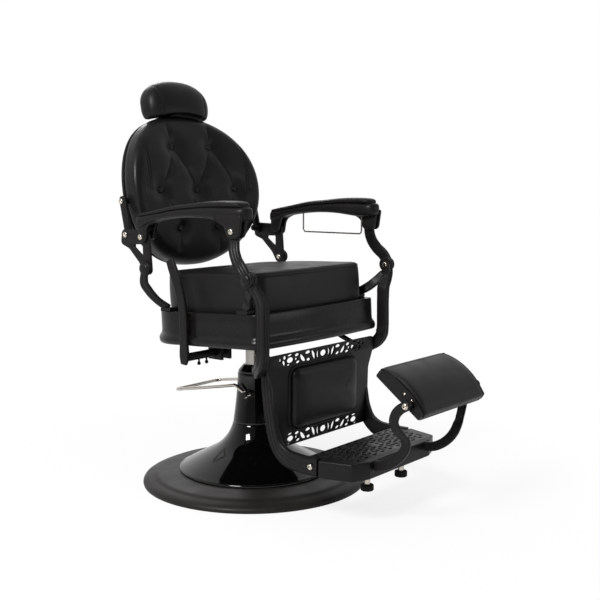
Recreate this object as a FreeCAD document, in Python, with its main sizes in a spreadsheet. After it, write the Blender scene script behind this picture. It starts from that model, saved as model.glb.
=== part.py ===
"""Vintage hydraulic barber chair, built as separate pieces with room to move.

Units are millimetres. The origin is the centre of the floor plate on the floor, +Z is up,
the chair faces -Y and +X is the sitter's left. "right" and "left" are the sitter's.
"""
import FreeCAD
import Part
import Sketcher
import math
import os
from types import SimpleNamespace
from FreeCAD import Vector

SIZES = [
    ("base_radius", 320, "floor plate, outer radius"),
    ("base_edge", 13, "floor plate, height of the outer edge"),
    ("base_rim", 22, "floor plate, width of the ring that stands on the floor"),
    ("base_slope", 34, "floor plate, width of the slope from the edge to the shoulder"),
    ("base_shoulder_rise", 25, "floor plate, height of the shoulder"),
    ("base_top", 36, "floor plate, height of its flat top"),
    ("base_wall", 9, "floor plate, wall"),
    ("base_boss", 84, "floor plate, radius of the middle pad that stands on the floor"),
    ("bell_radius", 216, "bell cover, foot radius"),
    ("bell_lip", 6, "bell cover, height of the upright lip at the foot"),
    ("bell_slope", 28, "bell cover, slope of the cone in degrees"),
    ("bell_curve", 100, "bell cover, radius of the sweep into the neck"),
    ("bell_wall", 2.5, "bell cover, wall"),
    ("neck_radius", 57.5, "bell cover, neck radius"),
    ("neck_top", 190, "bell cover, top of the neck"),
    ("sleeve_radius", 53, "column sleeve, radius in the neck"),
    ("sleeve_top_radius", 44.5, "column sleeve, radius at the top"),
    ("sleeve_taper", 170, "column sleeve, height where the taper starts"),
    ("sleeve_top", 314, "column sleeve, top"),
    ("sleeve_bore", 40, "column sleeve, bore radius"),
    ("pump_flange_radius", 80, "pump cylinder, flange radius"),
    ("pump_flange", 10, "pump cylinder, flange thickness"),
    ("pump_radius", 38, "pump cylinder, outer radius"),
    ("pump_bore", 29, "pump cylinder, bore radius"),
    ("pump_top", 306, "pump cylinder, top"),
    ("flange_bolt_circle", 62, "flange bolts, radius of their circle"),
    ("gland_top", 338, "gland cap, top"),
    ("gland_neck", 30, "gland cap, radius at the top"),
    ("seal_depth", 7, "rod seal, depth"),
    ("slide_fit", 0.08, "radial clearance of sliding round fits"),
    ("pin_fit", 0.05, "radial clearance of pivot pins"),
    ("seat_gap", 0.3, "clearance between fixed faces"),
    ("rod_radius", 24, "piston rod, radius"),
    ("rod_bottom", 126, "piston rod, bottom of the piston head"),
    ("piston_depth", 20, "piston head, depth"),
    ("collar_radius", 36, "piston rod, collar radius"),
    ("collar_bottom", 411, "piston rod, underside of the collar"),
    ("collar_depth", 7, "piston rod, collar depth"),
    ("spigot_radius", 20, "piston rod, radius of the swivel spigot"),
    ("washer_depth", 3, "thrust washer, thickness"),
    ("hub_radius", 46, "swivel hub, radius"),
    ("hub_depth", 31, "swivel hub, height"),
    ("plate_width", 330, "seat plate, width"),
    ("plate_depth", 270, "seat plate, depth"),
    ("plate_front", -150, "seat plate, front edge"),
    ("plate_thick", 8, "seat plate, thickness"),
    ("rail_place", 120, "seat rails, distance from the middle"),
    ("rail_width", 30, "seat rails, width"),
    ("pedal_rod", 5, "pedal, radius of the rod"),
    ("pedal_y", -27, "pedal, pivot"),
    ("pedal_z", 262, "pedal, pivot height"),
    ("pedal_half", 62, "pedal, half the spread of the eyes"),
    ("pedal_rise_y", 17, "pedal, where the arms turn back"),
    ("pedal_rise_z", 283, "pedal, height where the arms turn back"),
    ("pedal_end_y", 230, "pedal, end bar, front to rear"),
    ("pedal_end_z", 247, "pedal, height of the end bar"),
    ("pedal_bow", 95, "pedal, half the length of the end bar"),
    ("pedal_bend", 18, "pedal, radius of the bends"),
    ("pedal_eye", 10, "pedal, eye radius"),
    ("pedal_eye_width", 13, "pedal, width of an eye"),
    ("stud_radius", 5, "pedal studs, radius"),
    ("seat_front", -240, "seat band, front face"),
    ("seat_top", 525, "seat band, height of the front top edge"),
    ("seat_tilt", 3, "seat, backward slope in degrees"),
    ("band_half", 256, "seat band, half width"),
    ("band_depth", 422, "seat band, front to rear"),
    ("band_front_round", 26, "seat band, front corner radius"),
    ("band_rear_round", 120, "seat band, rear corner radius"),
    ("band_height", 88, "seat band, height"),
    ("band_wall", 3, "seat band, wall"),
    ("band_lip", 4, "seat band, thickness of the top ledge"),
    ("side_ledge", 29, "seat band, width of the side ledges"),
    ("end_ledge", 16, "seat band, width of the front and rear ledges"),
    ("bead_depth", 14, "seat band, height of the bottom bead"),
    ("bead_out", 7, "seat band, how far the bead stands out"),
    ("board_thick", 15, "seat board, thickness"),
    ("cushion_edge", 98, "seat cushion, height of the top edge over the ledge"),
    ("cushion_crown", 17, "seat cushion, crown over the top edge"),
    ("cushion_draw", 3, "seat cushion, how far the sides are drawn in"),
    ("cushion_front_round", 28, "seat cushion, front corner radius"),
    ("cushion_rear_round", 100, "seat cushion, rear corner radius"),
    ("leg_inner", 256.6, "leg castings, inner face"),
    ("leg_thick", 18, "leg castings, thickness"),
    ("leg_front", -274, "leg castings, front face"),
    ("leg_width", 22, "leg castings, front to rear"),
    ("leg_bend_z", 425, "leg castings, height of the bend"),
    ("ear_inner", 292, "leg castings, inner face of the knuckle ear"),
    ("ear_thick", 9.6, "leg castings, thickness of the knuckle ear"),
    ("knuckle_y", -252.5, "front knuckle"),
    ("knuckle_z", 618, "front knuckle height"),
    ("knuckle_round", 22, "front knuckle, radius"),
    ("leg_foot_y", -188, "leg castings, middle of the foot on the ledge"),
    ("foot_depth", 36, "casting feet, front to rear"),
    ("foot_thick", 10, "casting feet, thickness"),
    ("foot_inner", 228, "casting feet, inner edge"),
    ("pin_radius", 8, "pivot pins, radius"),
    ("bolt_head", 13, "bolt heads, radius"),
    ("head_depth", 6, "bolt heads, height"),
    ("socket_width", 7, "bolt heads, radius of the hexagon socket"),
    ("link_inner", 285, "front links, inner face of the upper eye"),
    ("link_low_inner", 302, "front links, inner face of the lower eye"),
    ("link_thick", 10, "front links, thickness"),
    ("link_top_y", -198, "front links, upper pivot"),
    ("link_top_z", 734.6, "front links, upper pivot height"),
    ("link_width", 29, "front links, width"),
    ("lug_inner", 295.4, "armrest front lug, inner face"),
    ("lug_thick", 8.6, "armrest front lug, thickness"),
    ("lug_play", 1.2, "armrest front lug, radial clearance of the open pivot"),
    ("arm_inner", 248, "armrest, inner face"),
    ("arm_thick", 54, "armrest, width"),
    ("arm_front", -243, "armrest, front end"),
    ("arm_rear", 148, "armrest, rear end"),
    ("arm_front_z", 798, "armrest casting, top at the front"),
    ("arm_rear_z", 756, "armrest casting, top at the rear"),
    ("arm_mid", -20, "armrest, place of its hump"),
    ("arm_mid_z", 788, "armrest casting, top at the hump"),
    ("arm_nose", 36, "armrest casting, depth at the nose"),
    ("arm_waist", 24, "armrest casting, depth along the middle"),
    ("arm_pad", 10, "armrest pad, thickness"),
    ("tab_inner", 282, "armrest rear tab, inner face"),
    ("tab_thick", 9.6, "armrest rear tab, thickness"),
    ("tab_y", 143, "armrest rear pivot"),
    ("tab_z", 709, "armrest rear pivot height"),
    ("bracket_inner", 272, "back brackets, inner face"),
    ("bracket_thick", 9.6, "back brackets, thickness"),
    ("back_pivot_y", 135, "back pivot"),
    ("back_pivot_z", 624, "back pivot height"),
    ("support_inner", 282, "rear supports, inner face of the eye"),
    ("support_thick", 10, "rear supports, thickness"),
    ("support_width", 18, "rear supports, width"),
    ("support_foot_y", 92, "rear supports, middle of the foot on the ledge"),
    ("bar_inner", 260, "upright bars, inner face"),
    ("bar_thick", 11.6, "upright bars, thickness"),
    ("bar_low_y", 219, "upright bars, lower bolt"),
    ("bar_low_z", 712, "upright bars, lower bolt height"),
    ("bar_high_y", 244, "upright bars, upper bolt"),
    ("bar_high_z", 803, "upright bars, upper bolt height"),
    ("bar_width", 24, "upright bars, width"),
    ("back_y", 300, "back board, middle of its front face"),
    ("back_z", 826, "back board, height of its middle"),
    ("back_tilt", 8, "back, slope in degrees"),
    ("back_half", 242, "back cushion, half width"),
    ("back_rise", 216, "back cushion, half height"),
    ("back_curve", 620, "back board, radius of its barrel curve"),
    ("back_board", 15, "back board, thickness"),
    ("back_inset", 5, "back board, how far it stays inside the cushion outline"),
    ("back_crown", 90, "back cushion, thickness in the middle"),
    ("back_side", 52, "back cushion, thickness at the seam"),
    ("ear_width", 24, "back board, width of the side ears"),
    ("tuft_high_u", 79, "tufts, upper and lower pairs, distance from the middle"),
    ("tuft_high_v", 122, "tufts, height of the upper pair"),
    ("tuft_mid_u", 153, "tufts, outer pair, distance from the middle"),
    ("tuft_mid_v", -4, "tufts, height of the middle row"),
    ("tuft_low_v", -114, "tufts, height of the lower pair"),
    ("tuft_seat", 71, "tufts, cushion thickness under the middle button"),
    ("tuft_swell", 11, "tufts, extra thickness under the outer buttons"),
    ("tuft_round", 30, "tufts, radius of the dimple"),
    ("button_radius", 9, "buttons, radius"),
    ("button_depth", 5, "buttons, height"),
    ("pleat_round", 8, "pleats, radius of the channel"),
    ("head_v", 262, "headrest, middle along the back"),
    ("head_w", -28, "headrest, middle across the back"),
    ("head_half", 104, "headrest, half width"),
    ("head_rise", 57, "headrest, middle to top"),
    ("head_drop", 44, "headrest, middle to underside"),
    ("head_deep", 47, "headrest, half depth"),
    ("head_board", 4.4, "headrest board, thickness"),
    ("post_width", 46, "headrest post, width"),
    ("post_thick", 8, "headrest post, thickness"),
    ("post_low", 40, "headrest post, lower end along the back"),
    ("post_high", 300, "headrest post, upper end along the back"),
    ("socket_low", 60, "headrest socket, lower end"),
    ("socket_high", 196, "headrest socket, upper end"),
    ("socket_wall", 7, "headrest socket, side wall"),
    ("post_fit", 0.1, "headrest post, clearance each side in its socket"),
    ("strut_inner", 194, "foot struts, inner face"),
    ("strut_thick", 16, "foot struts, thickness"),
    ("strut_width", 29, "foot struts, front to rear at the top"),
    ("strut_top_y", -225, "foot struts, middle of the upper end"),
    ("strut_top_z", 345, "foot struts, upper end"),
    ("strut_low_z", 127, "foot struts, underside of the foot"),
    ("strut_high", 46, "foot struts, height of the foot"),
    ("strut_end", -393, "foot struts, front end"),
    ("strut_bolt_y", -374, "foot struts, bolt"),
    ("panel_half", 193.6, "leg panel, half width"),
    ("panel_y", -254, "leg panel, front face"),
    ("panel_thick", 9, "leg panel, thickness"),
    ("panel_low", 171, "leg panel, lower edge"),
    ("panel_high", 416, "leg panel, upper edge"),
    ("pad_half", 132, "panel cushion, half width"),
    ("pad_low", 207, "panel cushion, lower edge"),
    ("pad_high", 376, "panel cushion, upper edge"),
    ("pad_crown", 22, "panel cushion, crown"),
    ("pierce_radius", 9, "pierced work, radius of the holes"),
    ("pierce_pitch", 27, "pierced work, spacing of the holes"),
    ("step_half", 193.6, "footplate, half width between the struts"),
    ("step_rear", -352, "footplate, rear edge"),
    ("step_front", -505, "footplate, front edge"),
    ("step_wide", 212, "footplate, half width in front of the struts"),
    ("step_top", 170, "footplate, top"),
    ("step_high", 45, "footplate, height of the rim"),
    ("step_wall", 7, "footplate, wall"),
    ("step_corner_y", -486, "footplate, rear end of the corner cut"),
    ("step_corner", 188, "footplate, half width at the corner cut"),
    ("step_nose", 138, "footplate, half width of the front edge"),
    ("foot_x", 78, "feet, distance from the middle"),
    ("foot_y", -455, "feet, front to rear place"),
    ("foot_low", 74, "feet, underside"),
    ("foot_disc", 17, "feet, radius of the rubber disc"),
    ("foot_disc_high", 16, "feet, height of the rubber disc"),
    ("foot_stud", 8, "feet, radius of the stud"),
    ("pad_arm_low_z", 157, "pad arms, height at the footplate"),
    ("pad_arm_wide", 20, "pad arms, width"),
    ("pad_arm_thick", 10, "pad arms, thickness"),
    ("pad_arm_root", 118, "pad arms, distance from the middle at the footplate"),
    ("pad_arm_top", 164, "pad arms, distance from the middle at the pad"),
    ("calf_y", -588.5, "calf pad, middle of the board's underside"),
    ("calf_z", 344.6, "calf pad, height of the board's underside"),
    ("calf_angle", 37, "calf pad, slope of the board in degrees"),
    ("calf_half", 142, "calf pad, half width of the cushion"),
    ("calf_long", 77, "calf pad, half length"),
    ("calf_crown", 41, "calf pad, crown over the board's underside"),
    ("calf_board", 8, "calf pad, board thickness"),
    ("calf_end", 6, "calf pad, end plate thickness"),
    ("calf_end_crown", 36, "calf pad, crown of the end plates over the board's underside"),
    ("calf_pivot", -37, "calf pad, pivot along the board"),
    ("calf_pivot_up", 13.5, "calf pad, pivot over the board's underside"),
    ("calf_edge", 24, "calf pad, height of the cushion at its long edges"),
    ("calf_pin", 6, "calf pad, pivot bolt radius"),
    ("lever_inner", 267, "side lever, inner face"),
    ("lever_thick", 8, "side lever, thickness"),
    ("lever_width", 25, "side lever, width"),
    ("lever_z", 393, "side lever, pivot height"),
    ("lever_low", 376, "side lever, lower end"),
    ("lever_top", 664, "side lever, upper end"),
    ("lever_top_y", 54, "side lever, upper end, front to rear"),
    ("shaft_radius", 11, "lever shaft, radius"),
    ("shaft_end", 118, "lever shaft, inner end from the middle"),
    ("cheek_outer", 160, "lever bracket, outer face from the middle"),
    ("cheek_inner", 120, "lever bracket, inner face from the middle"),
    ("cheek_thick", 8, "lever bracket, thickness"),
    ("cheek_depth", 50, "lever bracket, front to rear"),
    ("screw_out", 222, "lever screws, outer one from the middle"),
    ("screw_in", 193, "lever screws, inner one from the middle"),
    ("rail_wire", 3.5, "towel rail, wire radius"),
    ("rail_x", 275, "towel rail, distance from the middle"),
    ("rail_front", -179, "towel rail, front post"),
    ("rail_rear", 39, "towel rail, rear post"),
    ("rail_low", 705, "towel rail, height"),
    ("rail_bend", 12, "towel rail, bend radius"),
]


class Dim:
    """A size: its number now, and the spreadsheet expression that gives it."""

    def __init__(self, number, text=None):
        self.number = float(number)
        self.text = text if text else "({:.6f})".format(self.number)
        self.bound = text is not None

    def joined(self, other, sign, number):
        """This size and another joined by one sign of arithmetic."""
        made = Dim(number, "({} {} {})".format(self.text, sign, other.text))
        made.bound = self.bound or other.bound
        return made

    def __add__(self, other):
        other = dim(other)
        return self.joined(other, "+", self.number + other.number)

    def __sub__(self, other):
        other = dim(other)
        return self.joined(other, "-", self.number - other.number)

    def __mul__(self, other):
        other = dim(other)
        return self.joined(other, "*", self.number * other.number)

    def __truediv__(self, other):
        other = dim(other)
        return self.joined(other, "/", self.number / other.number)

    def __radd__(self, other):
        return dim(other) + self

    def __rsub__(self, other):
        return dim(other) - self

    def __rmul__(self, other):
        return dim(other) * self

    def __neg__(self):
        return dim(0) - self

    def __float__(self):
        return self.number


def dim(item):
    """A size from a plain number or from a size."""
    return item if isinstance(item, Dim) else Dim(item)


def sine(angle):
    """Sine of an angle in degrees."""
    return Dim(math.sin(math.radians(angle.number)), "sin({})".format(angle.text))


def cosine(angle):
    """Cosine of an angle in degrees."""
    return Dim(math.cos(math.radians(angle.number)), "cos({})".format(angle.text))


doc = FreeCAD.newDocument("barber_chair")
sheet = doc.addObject("Spreadsheet::Sheet", "Sizes")
named = {}
for row, (name, value, note) in enumerate(SIZES, start=2):
    sheet.set("A{}".format(row), name)
    sheet.set("B{}".format(row), str(value))
    sheet.setAlias("B{}".format(row), name)
    sheet.set("C{}".format(row), note)
    named[name] = Dim(value, "Sizes.{}".format(name))
doc.recompute()
s = SimpleNamespace(**named)
pieces = []
zero = Dim(0)


def keep(item, label):
    """Names a finished piece, so that it is written to a file of its own."""
    item.Label = label
    pieces.append(item)
    return item


def bind(item, prop, size):
    """Ties one property of an object to a size."""
    item.setExpression(prop, dim(size).text)


def place(item, x=0, y=0, z=0, axis=None, angle=0):
    """Ties an object's place, and a turn about one axis, to sizes."""
    spot = "vector({}; {}; {})".format(dim(x).text, dim(y).text, dim(z).text)
    turn = "vector({}; {}; {})".format(*(axis or (0, 0, 1)))
    item.setExpression(
        "Placement", "placement({}; rotation({}; {}))".format(spot, turn, dim(angle).text)
    )
    return item


def draw(sketch, corners, holes=()):
    """Closes a line through corners (across, up, round); a round is a tangent arc.

    Each hole is a circle (across, up, radius). Every place and radius is tied to its size.
    """
    spots = [Vector(float(c[0]), float(c[1]), 0) for c in corners]
    rounds = [float(c[2]) for c in corners]
    count = len(corners)
    starts = []
    ends = []
    middles = []
    for i in range(count):
        back = (spots[i - 1] - spots[i]).normalize()
        ahead = (spots[(i + 1) % count] - spots[i]).normalize()
        half = back.getAngle(ahead) / 2
        reach = rounds[i] / math.tan(half) if rounds[i] else 0
        starts.append(spots[i] + back * reach)
        ends.append(spots[i] + ahead * reach)
        inward = back + ahead
        if rounds[i]:
            inward = inward.normalize() * (rounds[i] / math.sin(half) - rounds[i])
        middles.append(spots[i] + inward)
    lines = []
    for i in range(count):
        lines.append(sketch.addGeometry(Part.LineSegment(ends[i], starts[(i + 1) % count]), False))
    marks = [sketch.addGeometry(Part.Point(spot), True) for spot in spots]
    rules = []
    ties = []

    def fix(geometry, point, across, up):
        for kind, size, axis in (("DistanceX", across, -2), ("DistanceY", up, -1)):
            size = dim(size)
            if not size.bound and size.number == 0:
                rules.append(Sketcher.Constraint("PointOnObject", geometry, point, axis))
                continue
            ties.append((len(rules), size))
            rules.append(Sketcher.Constraint(kind, -1, 1, geometry, point, size.number))

    for i in range(count):
        before = lines[i - 1]
        after = lines[i]
        if rounds[i]:
            arc = sketch.addGeometry(Part.ArcOfCircle(starts[i], middles[i], ends[i]), False)
            near = 1 if sketch.getPoint(arc, 1).distanceToPoint(starts[i]) < 1e-3 else 2
            rules.append(Sketcher.Constraint("Tangent", before, 2, arc, near))
            rules.append(Sketcher.Constraint("Tangent", after, 1, arc, 3 - near))
            rules.append(Sketcher.Constraint("PointOnObject", marks[i], 1, before))
            rules.append(Sketcher.Constraint("PointOnObject", marks[i], 1, after))
            ties.append((len(rules), dim(corners[i][2])))
            rules.append(Sketcher.Constraint("Radius", arc, rounds[i]))
        else:
            rules.append(Sketcher.Constraint("Coincident", before, 2, marks[i], 1))
            rules.append(Sketcher.Constraint("Coincident", after, 1, marks[i], 1))
        fix(marks[i], 1, corners[i][0], corners[i][1])
    for across, up, radius in holes:
        centre = Vector(float(across), float(up), 0)
        ring = sketch.addGeometry(Part.Circle(centre, Vector(0, 0, 1), float(radius)), False)
        fix(ring, 3, across, up)
        ties.append((len(rules), dim(radius)))
        rules.append(Sketcher.Constraint("Radius", ring, float(radius)))
    sketch.addConstraint(rules)
    for index, size in ties:
        if size.bound:
            sketch.setExpression("Constraints[{}]".format(index), size.text)
    if sketch.solve() != 0:
        raise RuntimeError("a sketch has no solution: " + sketch.Label)


def sketched(role, corners, holes=()):
    """A new body with a sketch on one of its own planes."""
    body = doc.addObject("PartDesign::Body", "Body")
    sketch = body.newObject("Sketcher::SketchObject", "Outline")
    plane = [item for item in body.Origin.OriginFeatures if item.Role == role][0]
    sketch.AttachmentSupport = (plane, [""])
    sketch.MapMode = "FlatFace"
    draw(sketch, corners, holes)
    return body, sketch


def turned(corners):
    """A body turned about its own Z axis from corners (radius, height, round)."""
    body, sketch = sketched("XZ_Plane", corners)
    feature = body.newObject("PartDesign::Revolution", "Turned")
    feature.Profile = sketch
    feature.ReferenceAxis = (sketch, ["V_Axis"])
    feature.Angle = 360
    body.Tip = feature
    return body


def padded(role, corners, thick, holes=()):
    """A body of one thickness, raised from an outline on one of its own planes."""
    body, sketch = sketched(role, corners, holes)
    feature = body.newObject("PartDesign::Pad", "Raised")
    feature.Profile = sketch
    bind(feature, "Length", thick)
    body.Tip = feature
    return body


def flat(corners, low, thick, holes=()):
    """A plate with its outline seen from the side (y, z, round), from x = low upward."""
    return place(padded("YZ_Plane", corners, thick, holes), x=low)


def upright(corners, front, thick, holes=()):
    """A plate with its outline seen from the front (x, z, round), from y = front backward."""
    return place(padded("XZ_Plane", corners, thick, holes), y=front + thick)


def level(corners, low, thick, holes=()):
    """A plate with its outline seen from above (x, y, round), from z = low upward."""
    return place(padded("XY_Plane", corners, thick, holes), z=low)


def prism(corners, low, thick, holes=()):
    """An upright prism over an outline (x, y, round)."""
    sketch = doc.addObject("Sketcher::SketchObject", "Outline")
    draw(sketch, corners, holes)
    item = doc.addObject("Part::Extrusion", "Prism")
    item.Base = sketch
    item.DirMode = "Custom"
    item.Dir = Vector(0, 0, 1)
    item.Solid = True
    bind(item, "LengthFwd", thick)
    return place(item, z=low)


def block(x, y, z, wide, deep, high):
    """A box from its low corner and its three sizes."""
    item = doc.addObject("Part::Box", "Block")
    bind(item, "Length", wide)
    bind(item, "Width", deep)
    bind(item, "Height", high)
    return place(item, x, y, z)


def cylinder(radius, long, x=0, y=0, z=0, axis=None, angle=0):
    """A cylinder along Z, or turned about an axis."""
    item = doc.addObject("Part::Cylinder", "Round")
    bind(item, "Radius", radius)
    bind(item, "Height", long)
    return place(item, x, y, z, axis, angle)


def pin(side, radius, inner, long, y, z):
    """A cylinder along X on one side, from its inner end outward."""
    low = dim(inner) if side > 0 else -(dim(inner) + long)
    return cylinder(radius, long, low, y, z, (0, 1, 0), 90)


def hexagon(side, radius, inner, long, y, z):
    """A hexagonal prism along X on one side, from its inner end outward."""
    item = doc.addObject("Part::Prism", "Hexagon")
    item.Polygon = 6
    bind(item, "Circumradius", radius)
    bind(item, "Height", long)
    low = dim(inner) if side > 0 else -(dim(inner) + long)
    return place(item, low, y, z, (0, 1, 0), 90)


def fused(*items):
    """Solids joined into one."""
    item = doc.addObject("Part::MultiFuse", "Joined")
    item.Shapes = list(items)
    return item


def cut(base, *tools):
    """A solid with others taken away from it."""
    item = doc.addObject("Part::Cut", "Less")
    item.Base = base
    item.Tool = tools[0] if len(tools) == 1 else fused(*tools)
    return item


def group(*items):
    """Separate solids kept in one piece's file."""
    item = doc.addObject("Part::Compound", "Group")
    item.Links = list(items)
    return item


def formed(shape):
    """A freely formed solid, made from sizes read off the sheet."""
    item = doc.addObject("Part::Feature", "Formed")
    item.Shape = shape
    return item


def low_x(side, inner, thick):
    """Where a plate starts along X, on either side of the chair."""
    return dim(inner) if side > 0 else -(dim(inner) + thick)


def bolt(side, radius, inner, grip, y, z, nut=None):
    """A headed bolt along X, its shank from inner outward over grip, its head beyond that."""
    outer = inner + grip
    head = pin(side, s.bolt_head, outer, s.head_depth, y, z)
    recess = hexagon(side, s.socket_width, outer + s.head_depth / 3, s.head_depth, y, z)
    shank = pin(side, radius, inner, grip + s.head_depth / 4, y, z)
    parts = [cut(head, recess), shank]
    if nut:
        parts.append(hexagon(side, s.bolt_head, inner - nut, nut, y, z))
    return fused(*parts)


def loop(points, arcs):
    """A closed wire; arcs[i] is the point that the stretch after point i bulges through, or None."""
    edges = []
    for i, here in enumerate(points):
        there = points[(i + 1) % len(points)]
        if arcs[i] is None:
            edges.append(Part.makeLine(here, there))
        else:
            edges.append(Part.Arc(here, arcs[i], there).toShape())
    return Part.Wire(edges)


def cushion_loop(half, front, rear, front_round, rear_round, height, upright_face=False):
    """A rectangle with rounded corners as a wire, level, or upright if asked."""
    def spot(x, y):
        return Vector(x, height, y) if upright_face else Vector(x, y, height)

    k = 1 - math.sqrt(0.5)
    f = front_round
    r = rear_round
    points = [
        spot(-half + f, front), spot(half - f, front), spot(half, front + f), spot(half, rear - r),
        spot(half - r, rear), spot(-half + r, rear), spot(-half, rear - r), spot(-half, front + f),
    ]
    arcs = [
        None, spot(half - k * f, front + k * f), None, spot(half - k * r, rear - k * r),
        None, spot(-half + k * r, rear - k * r), None, spot(-half + k * f, front + k * f),
    ]
    return loop(points, arcs)


def bar(points, wide, thick):
    """A flat cast bar through points (x, y, z), broad in the YZ plane and thick along X."""
    wires = []
    spots = [Vector(*(float(c) for c in point)) for point in points]
    for i, spot in enumerate(spots):
        before = spots[max(i - 1, 0)]
        after = spots[min(i + 1, len(spots) - 1)]
        run = after - before
        broad = Vector(0, -run.z, run.y).normalize() * (float(wide) / 2)
        across = Vector(float(thick) / 2, 0, 0)
        ring = [spot - broad - across, spot + broad - across, spot + broad + across, spot - broad + across]
        wires.append(loop(ring, [None] * 4))
    return Part.makeLoft(wires, True, True)


def rod(points, bend, radius):
    """A round rod through points, with tangent bends at the inner points."""
    edges = []
    here = points[0]
    for i in range(1, len(points) - 1):
        back = (points[i - 1] - points[i]).normalize()
        ahead = (points[i + 1] - points[i]).normalize()
        half = back.getAngle(ahead) / 2
        reach = bend / math.tan(half)
        start = points[i] + back * reach
        end = points[i] + ahead * reach
        middle = points[i] + (back + ahead).normalize() * (bend / math.sin(half) - bend)
        edges.append(Part.makeLine(here, start))
        edges.append(Part.Arc(start, middle, end).toShape())
        here = end
    edges.append(Part.makeLine(here, points[-1]))
    path = Part.Wire(edges)
    ring = Part.Wire(Part.makeCircle(radius, points[0], points[1] - points[0]))
    return path.makePipeShell([ring], True, False)


# Floor base
base_under = s.base_top - s.base_wall
base_shoulder = s.base_radius - s.base_slope
keep(turned([
    (zero, s.base_top, 0),
    (s.bell_radius + 6, s.base_top, 30),
    (base_shoulder, s.base_shoulder_rise, 30),
    (s.base_radius, s.base_edge, 6),
    (s.base_radius, zero, 0),
    (s.base_radius - s.base_rim, zero, 0),
    (base_shoulder - s.base_wall, s.base_shoulder_rise - s.base_wall, 20),
    (s.bell_radius, base_under, 20),
    (s.base_boss + 4, base_under, 6),
    (s.base_boss, zero, 2),
    (zero, zero, 0),
]), "base_plate")

bell_foot = s.base_top + s.bell_lip
bell_rise = (s.bell_radius - s.neck_radius) * sine(s.bell_slope) / cosine(s.bell_slope)
bell_drop = s.bell_wall / cosine(s.bell_slope)
bell_in = s.bell_radius - s.bell_wall
neck_in = s.neck_radius - s.bell_wall
in_rise = (bell_in - neck_in) * sine(s.bell_slope) / cosine(s.bell_slope)
in_foot = bell_foot + s.bell_wall * sine(s.bell_slope) / cosine(s.bell_slope) - bell_drop
keep(turned([
    (s.bell_radius, s.base_top, 0),
    (s.bell_radius, bell_foot, 3),
    (s.neck_radius, bell_foot + bell_rise, s.bell_curve),
    (s.neck_radius, s.neck_top, 0),
    (neck_in, s.neck_top, 0),
    (neck_in, in_foot + in_rise, s.bell_curve + s.bell_wall),
    (bell_in, in_foot, 1),
    (bell_in, s.base_top, 0),
]), "bell_cover")

flange_top = s.base_top + s.pump_flange
sleeve = keep(turned([
    (s.sleeve_bore, flange_top, 0),
    (s.sleeve_radius, flange_top, 0),
    (s.sleeve_radius, s.sleeve_taper, 60),
    (s.sleeve_top_radius, s.sleeve_top, 1),
    (s.sleeve_bore, s.sleeve_top, 0),
]), "column_sleeve")

bolt_holes = []
bolts = []
for quarter in range(4):
    x = s.flange_bolt_circle * round(math.cos(math.radians(90 * quarter + 45)), 6)
    y = s.flange_bolt_circle * round(math.sin(math.radians(90 * quarter + 45)), 6)
    bolt_holes.append(cylinder(s.stud_radius + s.pin_fit, s.pump_flange, x, y, s.base_top))
    head = doc.addObject("Part::Prism", "Hexagon")
    head.Polygon = 6
    bind(head, "Circumradius", s.stud_radius * 1.7)
    bind(head, "Height", s.stud_radius)
    place(head, x, y, flange_top)
    bolts.append(fused(head, cylinder(s.stud_radius, s.pump_flange, x, y, s.base_top)))
pump = turned([
    (zero, s.base_top, 0),
    (s.pump_flange_radius, s.base_top, 0),
    (s.pump_flange_radius, flange_top, 2),
    (s.pump_radius, flange_top, 0),
    (s.pump_radius, s.pump_top, 0),
    (s.pump_bore, s.pump_top, 0),
    (s.pump_bore, flange_top + 4, 0),
    (zero, flange_top + 4, 0),
])
keep(cut(pump, *bolt_holes), "pump_cylinder")
keep(group(*bolts), "flange_bolts")

rod_bore = s.rod_radius + s.slide_fit
keep(turned([
    (rod_bore, s.pump_top, 0),
    (s.sleeve_bore - s.seat_gap, s.pump_top, 0),
    (s.sleeve_bore - s.seat_gap, s.sleeve_top, 0),
    (s.sleeve_top_radius, s.sleeve_top, 0),
    (s.sleeve_top_radius, s.sleeve_top + 7, 5),
    (s.gland_neck, s.gland_top, 4),
    (rod_bore, s.gland_top, 0),
]), "gland_cap")
keep(turned([
    (rod_bore, s.pump_top - s.seal_depth, 0),
    (s.pump_bore - s.pin_fit, s.pump_top - s.seal_depth, 0),
    (s.pump_bore - s.pin_fit, s.pump_top, 0),
    (rod_bore, s.pump_top, 0),
]), "rod_seal")

studs = []
for side in (-1, 1):
    stud_in = s.sleeve_top_radius / 2
    stud_out = s.pedal_half + s.pedal_eye_width / 2 + 1
    stud = pin(side, s.stud_radius, stud_in, stud_out - stud_in, s.pedal_y, s.pedal_z)
    nut = hexagon(side, s.stud_radius * 1.8, stud_out, s.stud_radius, s.pedal_y, s.pedal_z)
    shoulder_out = s.pedal_half - s.pedal_eye_width / 2 - 1
    shoulder = pin(side, s.stud_radius * 1.8, stud_in, shoulder_out - stud_in, s.pedal_y, s.pedal_z)
    studs.append(cut(fused(stud, nut, shoulder), cylinder(s.sleeve_radius - 4, s.sleeve_top)))
keep(cut(group(*studs), sleeve), "pedal_studs")

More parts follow.
